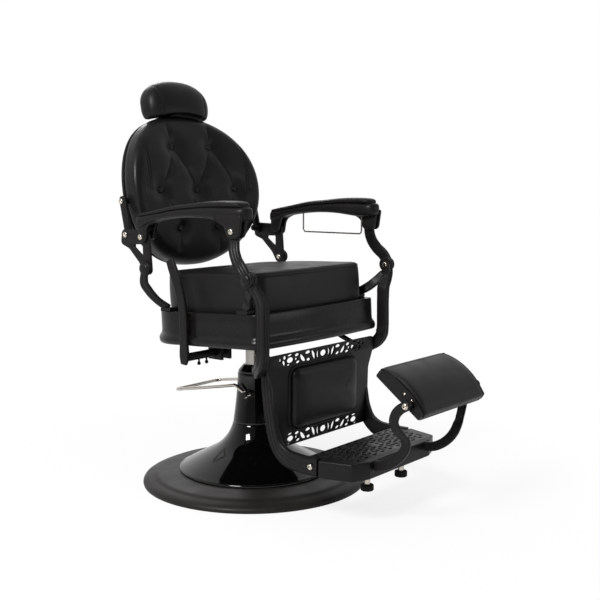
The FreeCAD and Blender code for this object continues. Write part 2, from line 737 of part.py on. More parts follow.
# Pump pedal
rise = Vector(float(s.pedal_half), float(s.pedal_rise_y), float(s.pedal_rise_z))
eye = Vector(float(s.pedal_half), float(s.pedal_y), float(s.pedal_z))
eye_start = eye + (rise - eye).normalize() * (float(s.pedal_eye) * 0.7)
corner = Vector(float(s.pedal_bow), float(s.pedal_end_y), float(s.pedal_end_z))
mirror = [Vector(-p.x, p.y, p.z) for p in (corner, rise, eye_start)]
pedal_rod = rod([eye_start, rise, corner] + mirror, float(s.pedal_bend), float(s.pedal_rod))
pedal_parts = [formed(pedal_rod)]
pedal_holes = []
for side in (-1, 1):
    eye_low = s.pedal_half - s.pedal_eye_width / 2
    pedal_parts.append(pin(side, s.pedal_eye, eye_low, s.pedal_eye_width, s.pedal_y, s.pedal_z))
    pedal_holes.append(
        pin(side, s.stud_radius + s.pin_fit, eye_low - 1, s.pedal_eye_width + 2, s.pedal_y, s.pedal_z)
    )
keep(cut(fused(*pedal_parts), *pedal_holes), "pump_pedal")

# Lift
collar_top = s.collar_bottom + s.collar_depth
plate_low = collar_top + s.washer_depth + s.hub_depth
keep(turned([
    (zero, s.rod_bottom, 0),
    (s.pump_bore - s.slide_fit, s.rod_bottom, 2),
    (s.pump_bore - s.slide_fit, s.rod_bottom + s.piston_depth, 2),
    (s.rod_radius, s.rod_bottom + s.piston_depth, 0),
    (s.rod_radius, s.collar_bottom, 0),
    (s.collar_radius, s.collar_bottom, 1),
    (s.collar_radius, collar_top, 1),
    (s.spigot_radius, collar_top, 0),
    (s.spigot_radius, plate_low - 2, 2),
    (zero, plate_low - 2, 0),
]), "piston_rod")
keep(turned([
    (s.spigot_radius + s.slide_fit, collar_top, 0),
    (s.collar_radius, collar_top, 0),
    (s.collar_radius, collar_top + s.washer_depth, 0),
    (s.spigot_radius + s.slide_fit, collar_top + s.washer_depth, 0),
]), "thrust_washer")

# Seat frame
hub_low = collar_top + s.washer_depth + s.pin_fit
keep(turned([
    (s.spigot_radius + s.slide_fit, hub_low, 0),
    (s.hub_radius, hub_low, 3),
    (s.hub_radius, plate_low, 0),
    (s.spigot_radius + s.slide_fit, plate_low, 0),
]), "swivel_hub")
keep(level([
    (s.plate_width / -2, s.plate_front, 20),
    (s.plate_width / 2, s.plate_front, 20),
    (s.plate_width / 2, s.plate_front + s.plate_depth, 20),
    (s.plate_width / -2, s.plate_front + s.plate_depth, 20),
], plate_low, s.plate_thick), "seat_plate")

slope = sine(s.seat_tilt) / cosine(s.seat_tilt)
board_drop = (s.band_lip + s.board_thick + s.seat_gap) / cosine(s.seat_tilt)
plate_top = plate_low + s.plate_thick
rail_front = s.plate_front + 10
rail_rear = s.plate_front + s.plate_depth - 10
rails = []
for side in (-1, 1):
    rails.append(flat([
        (rail_front, plate_top, 0),
        (rail_rear, plate_top, 0),
        (rail_rear, s.seat_top - board_drop - (rail_rear - s.seat_front) * slope, 0),
        (rail_front, s.seat_top - board_drop - (rail_front - s.seat_front) * slope, 0),
    ], low_x(side, s.rail_place, s.rail_width), s.rail_width))
keep(group(*rails), "seat_rails")


def on_seat(item):
    """Puts a piece drawn from the front top edge of the band into its sloping place."""
    return place(item, 0, s.seat_front, s.seat_top, (1, 0, 0), -s.seat_tilt)


def seat_outline(inset_side, inset_front, inset_rear):
    """The seat band's outline seen from above, drawn in by given amounts."""
    half = s.band_half - inset_side
    front = dim(inset_front)
    rear = s.band_depth - inset_rear
    front_round = s.band_front_round - inset_front
    rear_round = s.band_rear_round - inset_side
    return [
        (-half, front, front_round),
        (half, front, front_round),
        (half, rear, rear_round),
        (-half, rear, rear_round),
    ]


wall = s.band_wall
bead = -s.bead_out
shell = prism(seat_outline(zero, zero, zero), -s.band_height, s.band_height)
bead_ring = prism(seat_outline(bead, bead, bead), -s.band_height, s.bead_depth)
hollow = prism(seat_outline(wall, wall, wall), -s.band_height - 1, s.band_height + 1 - s.band_lip)
mouth = prism(seat_outline(s.side_ledge, s.end_ledge, s.end_ledge), -s.band_height, s.band_height + 1)
keep(on_seat(cut(fused(shell, bead_ring), hollow, mouth)), "seat_band")
tuck = wall + 1
board_low = -(s.band_lip + s.board_thick + s.seat_gap)
keep(on_seat(group(prism(seat_outline(tuck, tuck, tuck), board_low, s.board_thick))), "seat_board")

gap = float(s.seat_gap)
edge = float(s.cushion_edge)
crown = float(s.cushion_crown)
draw_in = float(s.cushion_draw)
rings = []
profile = [
    (1.0, gap - float(s.band_lip)),
    (0.6, 0.06 * edge),
    (0.6 * draw_in, 0.25 * edge),
    (draw_in, 0.5 * edge),
    (0.6 * draw_in, 0.72 * edge),
    (0.6, 0.88 * edge),
    (2.0, 0.95 * edge),
    (6.0, 0.985 * edge),
    (12.0, edge),
]
for step in range(1, 7):
    profile.append((12.0 + 25.0 * step, edge + crown * (1 - (1 - step / 6) ** 2)))
for inset, height in profile:
    rings.append(cushion_loop(
        float(s.band_half - s.side_ledge) - inset,
        float(s.end_ledge) + inset,
        float(s.band_depth - s.end_ledge) - inset,
        max(float(s.cushion_front_round) - 0.1 * inset, 10.0),
        max(float(s.cushion_rear_round) - 0.5 * inset, 20.0),
        height,
    ))
keep(on_seat(formed(Part.makeLoft(rings, True, True))), "seat_cushion")


def ledge(y):
    """Height of the sloping ledge at a place from front to rear."""
    return s.seat_top - (y - s.seat_front) * slope


def foot(side, y, outer):
    """A casting's foot on the ledge of the seat band."""
    wide = outer - s.foot_inner
    item = doc.addObject("Part::Box", "Foot")
    bind(item, "Length", wide)
    bind(item, "Width", s.foot_depth)
    bind(item, "Height", s.foot_thick)
    front = y - s.foot_depth / 2
    x = low_x(side, s.foot_inner, wide)
    return place(item, x, front, ledge(front), (1, 0, 0), -s.seat_tilt)


leg_rear = s.leg_front + s.leg_width
knuckle_bolts = []
frame_bolts = []
for side, word in ((-1, "right"), (1, "left")):
    foot_y = s.leg_foot_y
    foot_z = ledge(foot_y)
    shank = flat([
        (s.leg_front, s.leg_bend_z, 0),
        (leg_rear, s.leg_bend_z, 0),
        (leg_rear, s.knuckle_z - 62, 4),
        (s.leg_front, s.knuckle_z - 62, 4),
    ], low_x(side, s.leg_inner, s.leg_thick), s.leg_thick)
    leg_x = s.leg_inner + s.leg_thick / 2
    leg_y = (s.leg_front + leg_rear) / 2
    ear_x = s.ear_inner + s.ear_thick - 7
    neck_path = [
        (leg_x, leg_y, s.knuckle_z - 82),
        (leg_x + 2, leg_y, s.knuckle_z - 62),
        (leg_x + 13, leg_y - 1, s.knuckle_z - 42),
        (ear_x - 4, s.knuckle_y - 8, s.knuckle_z - 22),
        (ear_x, s.knuckle_y - 2, s.knuckle_z - 4),
    ]
    branch_path = [
        (ear_x - 7, s.knuckle_y + 3, s.knuckle_z - 26),
        (ear_x - 18, s.knuckle_y + 22, s.knuckle_z - 48),
        (s.band_half - 2, (foot_y + s.knuckle_y) / 2 + 10, foot_z + 26),
        (s.band_half - 10, foot_y + 2, foot_z + 13),
    ]
    limb_path = [
        (s.leg_inner + s.leg_thick / 2, (s.leg_front + leg_rear) / 2, s.leg_bend_z + 16),
        (s.leg_inner + s.leg_thick / 2 - 1, (s.leg_front + leg_rear) / 2 + 2, s.leg_bend_z - 8),
        (s.leg_inner - 4, leg_rear + 2, s.leg_bend_z - 34),
        (s.strut_inner + s.strut_thick + 18, s.strut_top_y - 13, s.strut_top_z + 34),
        (s.strut_inner + s.strut_thick / 2 + 4, s.strut_top_y - 2, s.strut_top_z + 16),
        (s.strut_inner + s.strut_thick / 2, s.strut_top_y, s.strut_top_z + 8),
        (s.strut_inner + s.strut_thick / 2, s.strut_top_y, s.strut_top_z + s.seat_gap),
    ]
    limbs = []
    for path, wide, thick in ((neck_path, 30, 13), (branch_path, 19, 13), (limb_path, 20, s.leg_thick - 1)):
        path = [(side * float(x), float(y), float(z)) for x, y, z in path]
        limbs.append(formed(bar(path, wide, thick)))
    leg_foot = foot(side, foot_y, s.band_half)
    ear = pin(side, s.knuckle_round, s.ear_inner, s.ear_thick, s.knuckle_y, s.knuckle_z)
    hole = pin(side, s.pin_radius, s.ear_inner - 20, s.ear_thick + 30, s.knuckle_y, s.knuckle_z)
    keep(cut(fused(shank, ear, leg_foot, *limbs), hole), "leg_" + word)
    reach = s.link_low_inner + s.link_thick - s.ear_inner + s.seat_gap
    knuckle_bolts.append(bolt(side, s.pin_radius, s.ear_inner, reach, s.knuckle_y, s.knuckle_z))

# Front links, each with its upper pin
for side, word in ((-1, "right"), (1, "left")):
    top_x = s.link_inner + s.link_thick / 2
    low_eye_x = s.link_low_inner + s.link_thick / 2
    path = [
        (top_x, s.link_top_y, s.link_top_z),
        (top_x, s.link_top_y - 1, s.link_top_z - 26),
        (top_x + 1, s.link_top_y - 6, s.link_top_z - 48),
        (top_x + 8, s.link_top_y - 19, s.link_top_z - 70),
        (low_eye_x, s.link_top_y - 38, s.link_top_z - 90),
        (low_eye_x, s.knuckle_y + 3, s.knuckle_z + 6),
    ]
    path = [(side * float(p[0]), float(p[1]), float(p[2])) for p in path]
    stem = formed(bar(path, s.link_width, s.link_thick - 1))
    top_eye = pin(side, s.link_width / 2 + 2, s.link_inner, s.link_thick, s.link_top_y, s.link_top_z)
    low_eye = pin(side, s.link_width / 2 + 5, s.link_low_inner, s.link_thick, s.knuckle_y, s.knuckle_z)
    hole = pin(
        side, s.pin_radius + s.pin_fit, s.link_low_inner - 9, s.link_thick + 18, s.knuckle_y, s.knuckle_z
    )
    plate = cut(fused(stem, top_eye, low_eye), hole)
    link_outer = s.link_inner + s.link_thick
    lug_outer = s.lug_inner + s.lug_thick
    upper = bolt(
        side, s.pin_radius, link_outer, lug_outer - link_outer + s.seat_gap, s.link_top_y, s.link_top_z
    )
    keep(fused(plate, upper), "front_link_" + word)

# Armrests
for side, word in ((-1, "right"), (1, "left")):
    waist_y = s.link_top_y + 40
    under_rear = s.arm_rear_z - s.arm_waist + 8
    main = flat([
        (s.arm_rear, s.arm_rear_z, 6),
        (s.arm_mid, s.arm_mid_z, 600),
        (s.arm_front, s.arm_front_z, 14),
        (s.arm_front, s.arm_front_z - s.arm_nose, 14),
        (s.link_top_y, s.arm_front_z - s.arm_nose - 1, 20),
        (waist_y, s.arm_mid_z - s.arm_waist, 40),
        (s.arm_mid + 30, s.arm_mid_z - s.arm_waist, 300),
        (s.arm_rear, under_rear, 4),
    ], low_x(side, s.arm_inner, s.arm_thick), s.arm_thick)
    lug = flat([
        (s.link_top_y - 18, s.arm_front_z - s.arm_nose + 12, 0),
        (s.link_top_y - 18, s.link_top_z - 18, 17),
        (s.link_top_y + 18, s.link_top_z - 18, 17),
        (s.link_top_y + 24, s.arm_front_z - s.arm_nose + 12, 0),
    ], low_x(side, s.lug_inner, s.lug_thick), s.lug_thick,
        [(s.link_top_y, s.link_top_z, s.pin_radius + s.lug_play)])
    tab = flat([
        (s.arm_rear, under_rear + 8, 0),
        (s.tab_y - 50, under_rear + 16, 0),
        (s.tab_y - 17, under_rear + 2, 18),
        (s.tab_y - 15, s.tab_z - 15, 13),
        (s.tab_y + 12, s.tab_z - 15, 12),
    ], low_x(side, s.tab_inner, s.tab_thick), s.tab_thick,
        [(s.tab_y, s.tab_z, s.pin_radius + s.pin_fit)])
    keep(fused(main, lug, tab), "arm_casting_" + word)
    trim = Dim(2)
    lift = s.seat_gap
    rear_slope = (s.arm_mid_z - s.arm_rear_z) / (s.arm_rear - s.arm_mid)
    front_slope = (s.arm_front_z - s.arm_mid_z) / (s.arm_mid - s.arm_front)
    keep(flat([
        (s.arm_rear - 8, s.arm_rear_z + rear_slope * 8 + lift, 0),
        (s.arm_rear - 8, s.arm_rear_z + rear_slope * 8 + s.arm_pad, 7),
        (s.arm_mid, s.arm_mid_z + s.arm_pad, 600),
        (s.arm_front + 40, s.arm_front_z + s.arm_pad, 80),
        (s.arm_front + 13, s.arm_front_z + s.arm_pad - 4, 4),
        (s.arm_front + 17, s.arm_front_z - front_slope * 17 + lift, 0),
        (s.arm_mid, s.arm_mid_z + lift, 600),
    ], low_x(side, s.arm_inner + trim, s.arm_thick - trim * 2), s.arm_thick - trim * 2),
        "arm_pad_" + word)

rail_top = float(s.arm_mid_z - s.arm_waist) - 4
x = float(s.rail_x)
wire = rod([
    Vector(x, float(s.rail_rear), rail_top),
    Vector(x, float(s.rail_rear), float(s.rail_low)),
    Vector(x, float(s.rail_front), float(s.rail_low)),
    Vector(x, float(s.rail_front), rail_top + 10),
], float(s.rail_bend), float(s.rail_wire))
arm_left = [item for item in pieces if item.Label == "arm_casting_left"][0]
keep(cut(formed(wire), arm_left), "towel_rail")

# Rear supports and back brackets
back_bolts = []
back_bars = []
for side, word in ((-1, "right"), (1, "left")):
    middle = s.support_inner + s.support_thick / 2
    foot_z = ledge(s.support_foot_y)
    path = [
        (middle, s.back_pivot_y, s.back_pivot_z - 4),
        (middle, s.back_pivot_y + 3, s.back_pivot_z - 22),
        (middle - 1, s.back_pivot_y + 3, s.back_pivot_z - 40),
        (middle - 9, s.back_pivot_y - 5, s.back_pivot_z - 60),
        (middle - 24, s.support_foot_y + 20, foot_z + 28),
        (s.band_half - 10, s.support_foot_y, foot_z + 9),
    ]
    path = [(side * float(p[0]), float(p[1]), float(p[2])) for p in path]
    limb = formed(bar(path, s.support_width, s.support_thick - 1))
    eye_ring = pin(
        side, s.knuckle_round - 2, s.support_inner, s.support_thick, s.back_pivot_y, s.back_pivot_z
    )
    support_foot = foot(side, s.support_foot_y, s.band_half)
    hole = pin(side, s.pin_radius, s.support_inner - 1, s.support_thick + 2, s.back_pivot_y, s.back_pivot_z)
    keep(cut(fused(limb, eye_ring, support_foot), hole), "rear_support_" + word)
    reach = s.support_inner + s.support_thick - s.bracket_inner
    knuckle_bolts.append(
        bolt(side, s.pin_radius, s.bracket_inner, reach, s.back_pivot_y, s.back_pivot_z, nut=s.head_depth)
    )

    outline = [
        (s.tab_y - 15, s.tab_z + 15, 13),
        (s.bar_low_y + 15, s.bar_low_z + 15, 14),
        (s.bar_low_y + 16, s.bar_low_z - 16, 16),
        (s.bar_low_y - 12, s.bar_low_z - 38, 40),
        (s.back_pivot_y + 23, s.back_pivot_z - 2, 16),
        (s.back_pivot_y + 8, s.back_pivot_z - 18, 12),
        (s.back_pivot_y - 17, s.back_pivot_z - 17, 14),
    ]
    low = low_x(side, s.bracket_inner, s.bracket_thick)
    plate = flat(outline, low, s.bracket_thick, [
        (s.tab_y, s.tab_z, s.pin_radius),
        (s.bar_low_y, s.bar_low_z, s.pin_radius),
        (s.back_pivot_y, s.back_pivot_z, s.pin_radius + s.pin_fit),
    ])
    window = flat([
        (s.tab_y + 8, s.tab_z - 21, 4),
        (s.tab_y + 52, s.tab_z - 22, 5),
        (s.tab_y + 8, s.tab_z - 54, 4),
    ], low_x(side, s.bracket_inner - 1, s.bracket_thick + 2), s.bracket_thick + 2)
    keep(cut(plate, window), "bracket_" + word)

    half = s.bar_width / 2
    low = low_x(side, s.bar_inner, s.bar_thick)
    back_bars.append(flat([
        (s.bar_low_y - half, s.bar_low_z - 15, 8),
        (s.bar_low_y + half, s.bar_low_z - 15, 8),
        (s.bar_high_y + half, s.bar_high_z + 15, 8),
        (s.bar_high_y - half, s.bar_high_z + 15, 8),
    ], low, s.bar_thick, [
        (s.bar_low_y, s.bar_low_z, s.pin_radius),
        (s.bar_high_y, s.bar_high_z, s.pin_radius),
    ]))
    bracket_outer = s.bracket_inner + s.bracket_thick
    tab_outer = s.tab_inner + s.tab_thick
    back_bolts.append(
        bolt(side, s.pin_radius, s.bar_inner, bracket_outer - s.bar_inner, s.bar_low_y, s.bar_low_z)
    )
    back_bolts.append(bolt(side, s.pin_radius, s.bar_inner, s.bar_thick, s.bar_high_y, s.bar_high_z))
    reach = tab_outer - s.bracket_inner + s.seat_gap
    back_bolts.append(
        bolt(side, s.pin_radius, s.bracket_inner, reach, s.tab_y, s.tab_z, nut=s.head_depth)
    )
keep(group(*back_bars), "back_bars")
keep(group(*back_bolts), "back_bolts")
keep(group(*knuckle_bolts), "knuckle_bolts")


# Back, drawn as x across, y rearward and z up the slope, from the middle of the board's front face
def on_back(item):
    """Puts a piece drawn on the upright back into its sloping place."""
    return place(item, 0, s.back_y, s.back_z, (1, 0, 0), -s.back_tilt)


def bow(u, extra=0.0):
    """How far the barrel curve brings the board forward at a distance from the middle."""
    curve = float(s.back_curve) + extra
    return extra - (curve - math.sqrt(curve * curve - u * u))


def span(u):
    """Half height of the cushion's oval outline at a distance from the middle."""
    return float(s.back_rise) * max(1 - abs(u / float(s.back_half)) ** 2.2, 0.0) ** (1 / 2.2)


def front_depth(u, v):
    """Cushion thickness at a place on its front."""
    share = u / float(s.back_half)
    rise = float(s.back_crown) + 14 * share ** 2 - 40 * share ** 6
    side = float(s.back_side)
    return side + (rise - side) * max(1 - (v / max(span(u), 1.0)) ** 2, 0.0)


reach = 2 * s.back_rise + 40
outer_drum = cylinder(s.back_curve + s.back_board, reach, 0, -s.back_curve, -s.back_rise - 20)
inner_drum = cylinder(s.back_curve, reach, 0, -s.back_curve, -s.back_rise - 20)
oval = doc.addObject("Part::Ellipse", "Oval")
bind(oval, "MajorRadius", s.back_half - s.back_inset)
bind(oval, "MinorRadius", s.back_rise - s.back_inset)
oval_prism = doc.addObject("Part::Extrusion", "Prism")
oval_prism.Base = oval
oval_prism.DirMode = "Custom"
oval_prism.Dir = Vector(0, 0, 1)
oval_prism.Solid = True
bind(oval_prism, "LengthFwd", s.back_half)
place(oval_prism, 0, s.back_board * 2, 0, (1, 0, 0), 90)
ears = []
lean = sine(s.back_tilt)
upstand = cosine(s.back_tilt)
for side in (-1, 1):
    for y, z in ((s.bar_low_y, s.bar_low_z), (s.bar_high_y, s.bar_high_z)):
        v = (y - s.back_y) * lean + (z - s.back_z) * upstand
        ear_in = s.back_half * 0.7
        wide = s.bar_inner - s.seat_gap - ear_in
        ears.append(block(
            low_x(side, ear_in, wide), -s.back_half, v - s.ear_width / 2, wide, s.back_half * 1.2, s.ear_width
        ))
board = doc.addObject("Part::MultiCommon", "Board")
board.Shapes = [cut(outer_drum, inner_drum), fused(oval_prism, *ears)]
keep(on_back(board), "back_board")

sections = []
for share in (-0.985, -0.94, -0.82, -0.62, -0.32, 0.0, 0.32, 0.62, 0.82, 0.94, 0.985):
    u = share * float(s.back_half)
    top = span(u)
    rear = bow(u) - 0.6
    seam = rear - front_depth(u, top)
    face = rear - front_depth(u, 0)
    points = [
        Vector(u, rear, -top + 13),
        Vector(u, rear, top - 13),
        Vector(u, seam, top - 5),
        Vector(u, seam, -top + 5),
    ]
    arcs = [
        None,
        Vector(u, 0.35 * rear + 0.65 * seam, top),
        Vector(u, face, 0),
        Vector(u, 0.35 * rear + 0.65 * seam, -top),
    ]
    sections.append(loop(points, arcs))
pillow = Part.makeLoft(sections, True, False)
tufts = [(0.0, float(s.tuft_mid_v))]
for sign in (-1, 1):
    tufts.append((sign * float(s.tuft_high_u), float(s.tuft_high_v)))
    tufts.append((sign * float(s.tuft_mid_u), float(s.tuft_mid_v)))
    tufts.append((sign * float(s.tuft_high_u), float(s.tuft_low_v)))
dimples = []
buttons = []
ball = float(s.tuft_round)
for u, v in tufts:
    floor = bow(u) - float(s.tuft_seat) - float(s.tuft_swell) * (u / float(s.tuft_mid_u)) ** 2
    dimples.append(Part.makeSphere(ball, Vector(u, floor - ball, v)))
    sag = ball - math.sqrt(ball ** 2 - float(s.button_radius) ** 2)
    button = cylinder(s.button_radius, s.button_depth, u, floor - sag - gap, v, (1, 0, 0), 90)
    buttons.append(button)


def pleat(start, end):
    """A channel between two places on the cushion's front."""
    ends = []
    for u, v in (start, end):
        ends.append(Vector(u, bow(u) - front_depth(u, v) - 1.0, v))
    run = ends[1] - ends[0]
    return Part.makeCylinder(float(s.pleat_round), run.Length, ends[0], run)


high_u = float(s.tuft_high_u)
mid_u = float(s.tuft_mid_u)
high_v = float(s.tuft_high_v)
mid_v = float(s.tuft_mid_v)
low_v = float(s.tuft_low_v)
for sign in (-1, 1):
    dimples.append(pleat((0.0, mid_v), (sign * high_u, high_v)))
    dimples.append(pleat((0.0, mid_v), (sign * high_u, low_v)))
    dimples.append(pleat((sign * mid_u, mid_v), (sign * high_u, high_v)))
    dimples.append(pleat((sign * mid_u, mid_v), (sign * high_u, low_v)))
tufted = pillow.cut(dimples)
keep(on_back(formed(tufted)), "back_cushion")
keep(on_back(group(*buttons)), "back_buttons")

# Headrest on its post
behind = s.back_board + s.seat_gap
slot_low = behind + 1.6
slot_deep = s.post_thick + s.post_fit * 2
case_half = s.post_width / 2 + s.socket_wall
socket = block(-case_half, behind, s.socket_low, case_half * 2, slot_deep + 4.6, s.socket_high - s.socket_low)
channel = block(
    s.post_width / -2 - s.post_fit, slot_low, s.socket_low - 1,
    s.post_width + s.post_fit * 2, slot_deep, s.socket_high - s.socket_low + 2,
)
keep(on_back(cut(socket, channel)), "headrest_socket")
post_y = slot_low + s.post_fit
keep(on_back(group(block(
    s.post_width / -2, post_y, s.post_low, s.post_width, s.post_thick, s.post_high - s.post_low
))), "headrest_post")
board_y = post_y - s.head_board
keep(on_back(group(block(
    -s.head_half * 0.7, board_y, s.head_v - s.head_rise * 0.55, s.head_half * 1.4, s.head_board, s.head_rise
))), "headrest_board")
rear = float(board_y) - gap
centre_v = float(s.head_v)
centre_w = float(s.head_w)
rings = []
half_profile = [
    (1.0, 0.42, 0.6, 0.74),
    (0.985, 0.55, 0.74, 0.84),
    (0.95, 0.68, 0.86, 0.92),
    (0.88, 0.8, 0.94, 0.97),
    (0.76, 0.9, 0.98, 1.0),
    (0.6, 0.96, 1.0, 1.0),
    (0.3, 1.0, 1.0, 1.0),
]
profile = [(-share, top, low, deep) for share, top, low, deep in half_profile] + half_profile[::-1]
for share, top, low, deep in profile:
    u = share * float(s.head_half)
    high = top * float(s.head_rise)
    drop = low * float(s.head_drop)
    deep = deep * float(s.head_deep)
    back_w = rear - (1 - low) * 12
    points = [
        Vector(u, back_w, centre_v - 0.7 * drop),
        Vector(u, back_w, centre_v + 0.3 * high),
        Vector(u, centre_w - 0.82 * deep, centre_v + 0.5 * high),
        Vector(u, centre_w - 0.78 * deep, centre_v - 0.72 * drop),
    ]
    arcs = [
        None,
        Vector(u, centre_w + 0.05 * deep, centre_v + high),
        Vector(u, centre_w - deep, centre_v - 0.12 * drop),
        Vector(u, centre_w, centre_v - drop),
    ]
    rings.append(loop(points, arcs))
keep(on_back(formed(Part.makeLoft(rings, True, True))), "headrest_cushion")

# Foot struts, leg panel and footplate
strut_high_z = s.strut_low_z + s.strut_high
for side, word in ((-1, "right"), (1, "left")):
    half = s.strut_width / 2
    outline = [
        (s.strut_top_y + half, s.strut_top_z, 8),
        (s.strut_top_y - half, s.strut_top_z, 8),
        (s.strut_top_y - half - 12, strut_high_z + 75, 80),
        (s.strut_top_y - half - 26, strut_high_z + 14, 36),
        (s.strut_end + 70, strut_high_z + 4, 60),
        (s.strut_end, strut_high_z, 20),
        (s.strut_end, s.strut_low_z, 20),
        (s.strut_end + 84, s.strut_low_z, 90),
        (s.strut_top_y - half - 12, s.strut_low_z + 30, 60),
        (s.strut_top_y + half - 12, strut_high_z + 75, 80),
    ]
    low = low_x(side, s.strut_inner, s.strut_thick)
    bolt_z = s.strut_low_z + s.strut_high / 2
    casting = flat(outline, low, s.strut_thick, [(s.strut_bolt_y, bolt_z, s.stud_radius)])
    keep(casting, "strut_" + word)
    frame_bolts.append(bolt(side, s.stud_radius, s.strut_inner, s.strut_thick, s.strut_bolt_y, bolt_z))
    leg_outer = s.leg_inner + s.leg_thick
    cap = pin(side, s.bolt_head, leg_outer, s.head_depth, leg_rear - 12, s.leg_bend_z + 4)
    recess = hexagon(
        side, s.socket_width, leg_outer + s.head_depth / 3, s.head_depth, leg_rear - 12, s.leg_bend_z + 4
    )
    frame_bolts.append(cut(cap, recess))
keep(group(*frame_bolts), "frame_bolts")

stays = []
for side in (-1, 1):
    path = [
        (s.plate_width / 2 - 16, s.plate_front + 26, plate_low - 7),
        (s.plate_width / 2 - 6, s.plate_front - 12, plate_low - 20),
        (s.panel_half - 18, s.panel_y + 64, plate_low - 40),
        (s.panel_half - 11, s.panel_y + 30, plate_low - 55),
        (s.panel_half - 9, s.panel_y + s.panel_thick + 4, plate_low - 62),
    ]
    path = [(side * float(p[0]), float(p[1]), float(p[2])) for p in path]
    upper = block(
        low_x(side, s.plate_width / 2 - 24, Dim(16)), s.plate_front + 10, plate_low - 10, 16, 32, 10
    )
    lower = block(
        low_x(side, s.panel_half - 17, Dim(16)), s.panel_y + s.panel_thick, plate_low - 76, 16, 7, 28
    )
    stays.append(fused(formed(bar(path, 13, 12)), upper, lower))
keep(group(*stays), "frame_stays")

panel_holes = []
for row_z in (s.panel_high - s.pierce_radius * 2.1, s.panel_low + s.pierce_radius * 2.1):
    for step in range(-6, 7):
        panel_holes.append((s.pierce_pitch * step, row_z, s.pierce_radius))
keep(upright([
    (-s.panel_half, s.panel_low, 10),
    (s.panel_half, s.panel_low, 10),
    (s.panel_half, s.panel_high, 24),
    (-s.panel_half, s.panel_high, 24),
], s.panel_y, s.panel_thick, panel_holes), "leg_panel")
rings = []
swell = float(s.pad_crown)
profile = [
    (0.8, 0.0), (0.0, 0.2), (0.8, 0.42), (4.0, 0.62), (12.0, 0.8), (25.0, 0.91), (45.0, 0.975), (70.0, 1.0),
]
for inset, share in profile:
    height = share * swell
    rings.append(cushion_loop(
        float(s.pad_half) - inset,
        float(s.pad_low) + inset,
        float(s.pad_high) - inset,
        max(24 - 0.4 * inset, 6.0),
        max(24 - 0.4 * inset, 6.0),
        float(s.panel_y) - gap - height,
        True,
    ))
keep(formed(Part.makeLoft(rings, True, True)), "panel_cushion")


def step_outline(inset):
    """The footplate's outline seen from above, drawn in by one amount."""
    inner = s.step_half - inset
    wide = s.step_wide - inset
    corner_x = s.step_corner - inset
    nose = s.step_nose - inset * 0.5
    front = s.step_front + inset
    rear = s.step_rear - inset
    shoulder = s.strut_end - 4
    side_line = [
        (inner, rear, 0),
        (inner, shoulder + 2, 0),
        (wide, shoulder - 3, 0),
        (corner_x, s.step_corner_y, 8),
        (nose, front, 8),
    ]
    mirrored = [(-x, y, r) for x, y, r in reversed(side_line)]
    return side_line + mirrored


tread_holes = []
for row in range(5):
    for step in range(-6, 7):
        across = s.pierce_pitch * (step + 0.5 * (row % 2) - 0.25)
        up = s.step_rear - s.step_wall - 17 - s.pierce_pitch * 0.95 * row
        if abs(float(across)) < float(s.step_half) - 20 - (18 if row == 4 else 0):
            tread_low = s.step_top - s.step_wall - 2
            tread_holes.append(cylinder(s.pierce_radius, s.step_wall + 4, across, up, tread_low))
step_low = s.step_top - s.step_high
tray = prism(step_outline(zero), step_low, s.step_high)
recess = prism(step_outline(s.step_wall), step_low - 1, s.step_high + 1 - s.step_wall)
keep(cut(tray, recess, *tread_holes), "footplate")

discs = []
studs = []
for side in (-1, 1):
    discs.append(place(turned([
        (zero, zero, 0),
        (s.foot_disc, zero, 3),
        (s.foot_disc, s.foot_disc_high, 3),
        (zero, s.foot_disc_high, 0),
    ]), s.foot_x * side, s.foot_y, s.foot_low))
    stud_low = s.foot_low + s.foot_disc_high
    stud_high = s.step_top - s.step_wall - stud_low
    studs.append(cylinder(s.foot_stud, stud_high, s.foot_x * side, s.foot_y, stud_low))
keep(group(*discs), "rubber_feet")
keep(group(*studs), "foot_studs")

# Calf pad on its arms; drawn as x across, y along the board and z out of it
calf_cos = cosine(s.calf_angle)
calf_sin = sine(s.calf_angle)
pivot_y = s.calf_y + s.calf_pivot * calf_cos - s.calf_pivot_up * calf_sin
pivot_z = s.calf_z + s.calf_pivot * calf_sin + s.calf_pivot_up * calf_cos
end_in = s.calf_half + s.seat_gap
pad_bolts = []
for side, word in ((-1, "right"), (1, "left")):
    root = float(s.pad_arm_root)
    out = float(s.pad_arm_top)
    front = float(s.step_front)
    py = float(pivot_y)
    pz = float(pivot_z)
    low = float(s.pad_arm_low_z)
    path = [
        (root, front - 1.6, low),
        (root, front - 24, low + 3),
        (root, front - 50, low + 15),
        (root, front - 74, low + 35),
        (root, front - 90, low + 58),
        (root + 5, front - 95, low + 76),
        (root + 23, front - 92, low + 96),
        (out - 8, front - 88, low + 114),
        (out, front - 86, low + 133),
        (out, front - 91, low + 151),
        (out, front - 104, low + 166),
        (out, py, pz),
    ]
    limb = formed(bar([(side * p[0], p[1], p[2]) for p in path], s.pad_arm_wide, s.pad_arm_thick - 1))
    eye_in = end_in + s.calf_end + s.seat_gap
    eye_out = s.pad_arm_top + s.pad_arm_thick / 2
    eye_ring = pin(side, s.pad_arm_wide / 2 + 2, eye_in, eye_out - eye_in, pivot_y, pivot_z)
    hole = pin(side, s.calf_pin, eye_in - 1, eye_out - eye_in + 2, pivot_y, pivot_z)
    keep(cut(fused(limb, eye_ring), hole), "pad_arm_" + word)
    pad_bolts.append(bolt(side, s.calf_pin, end_in, eye_out - end_in, pivot_y, pivot_z))
keep(group(*pad_bolts), "pad_bolts")


def on_calf(item, x=0):
    """Puts a piece drawn flat into the calf pad's sloping place."""
    return place(item, x, s.calf_y, s.calf_z, (1, 0, 0), s.calf_angle)


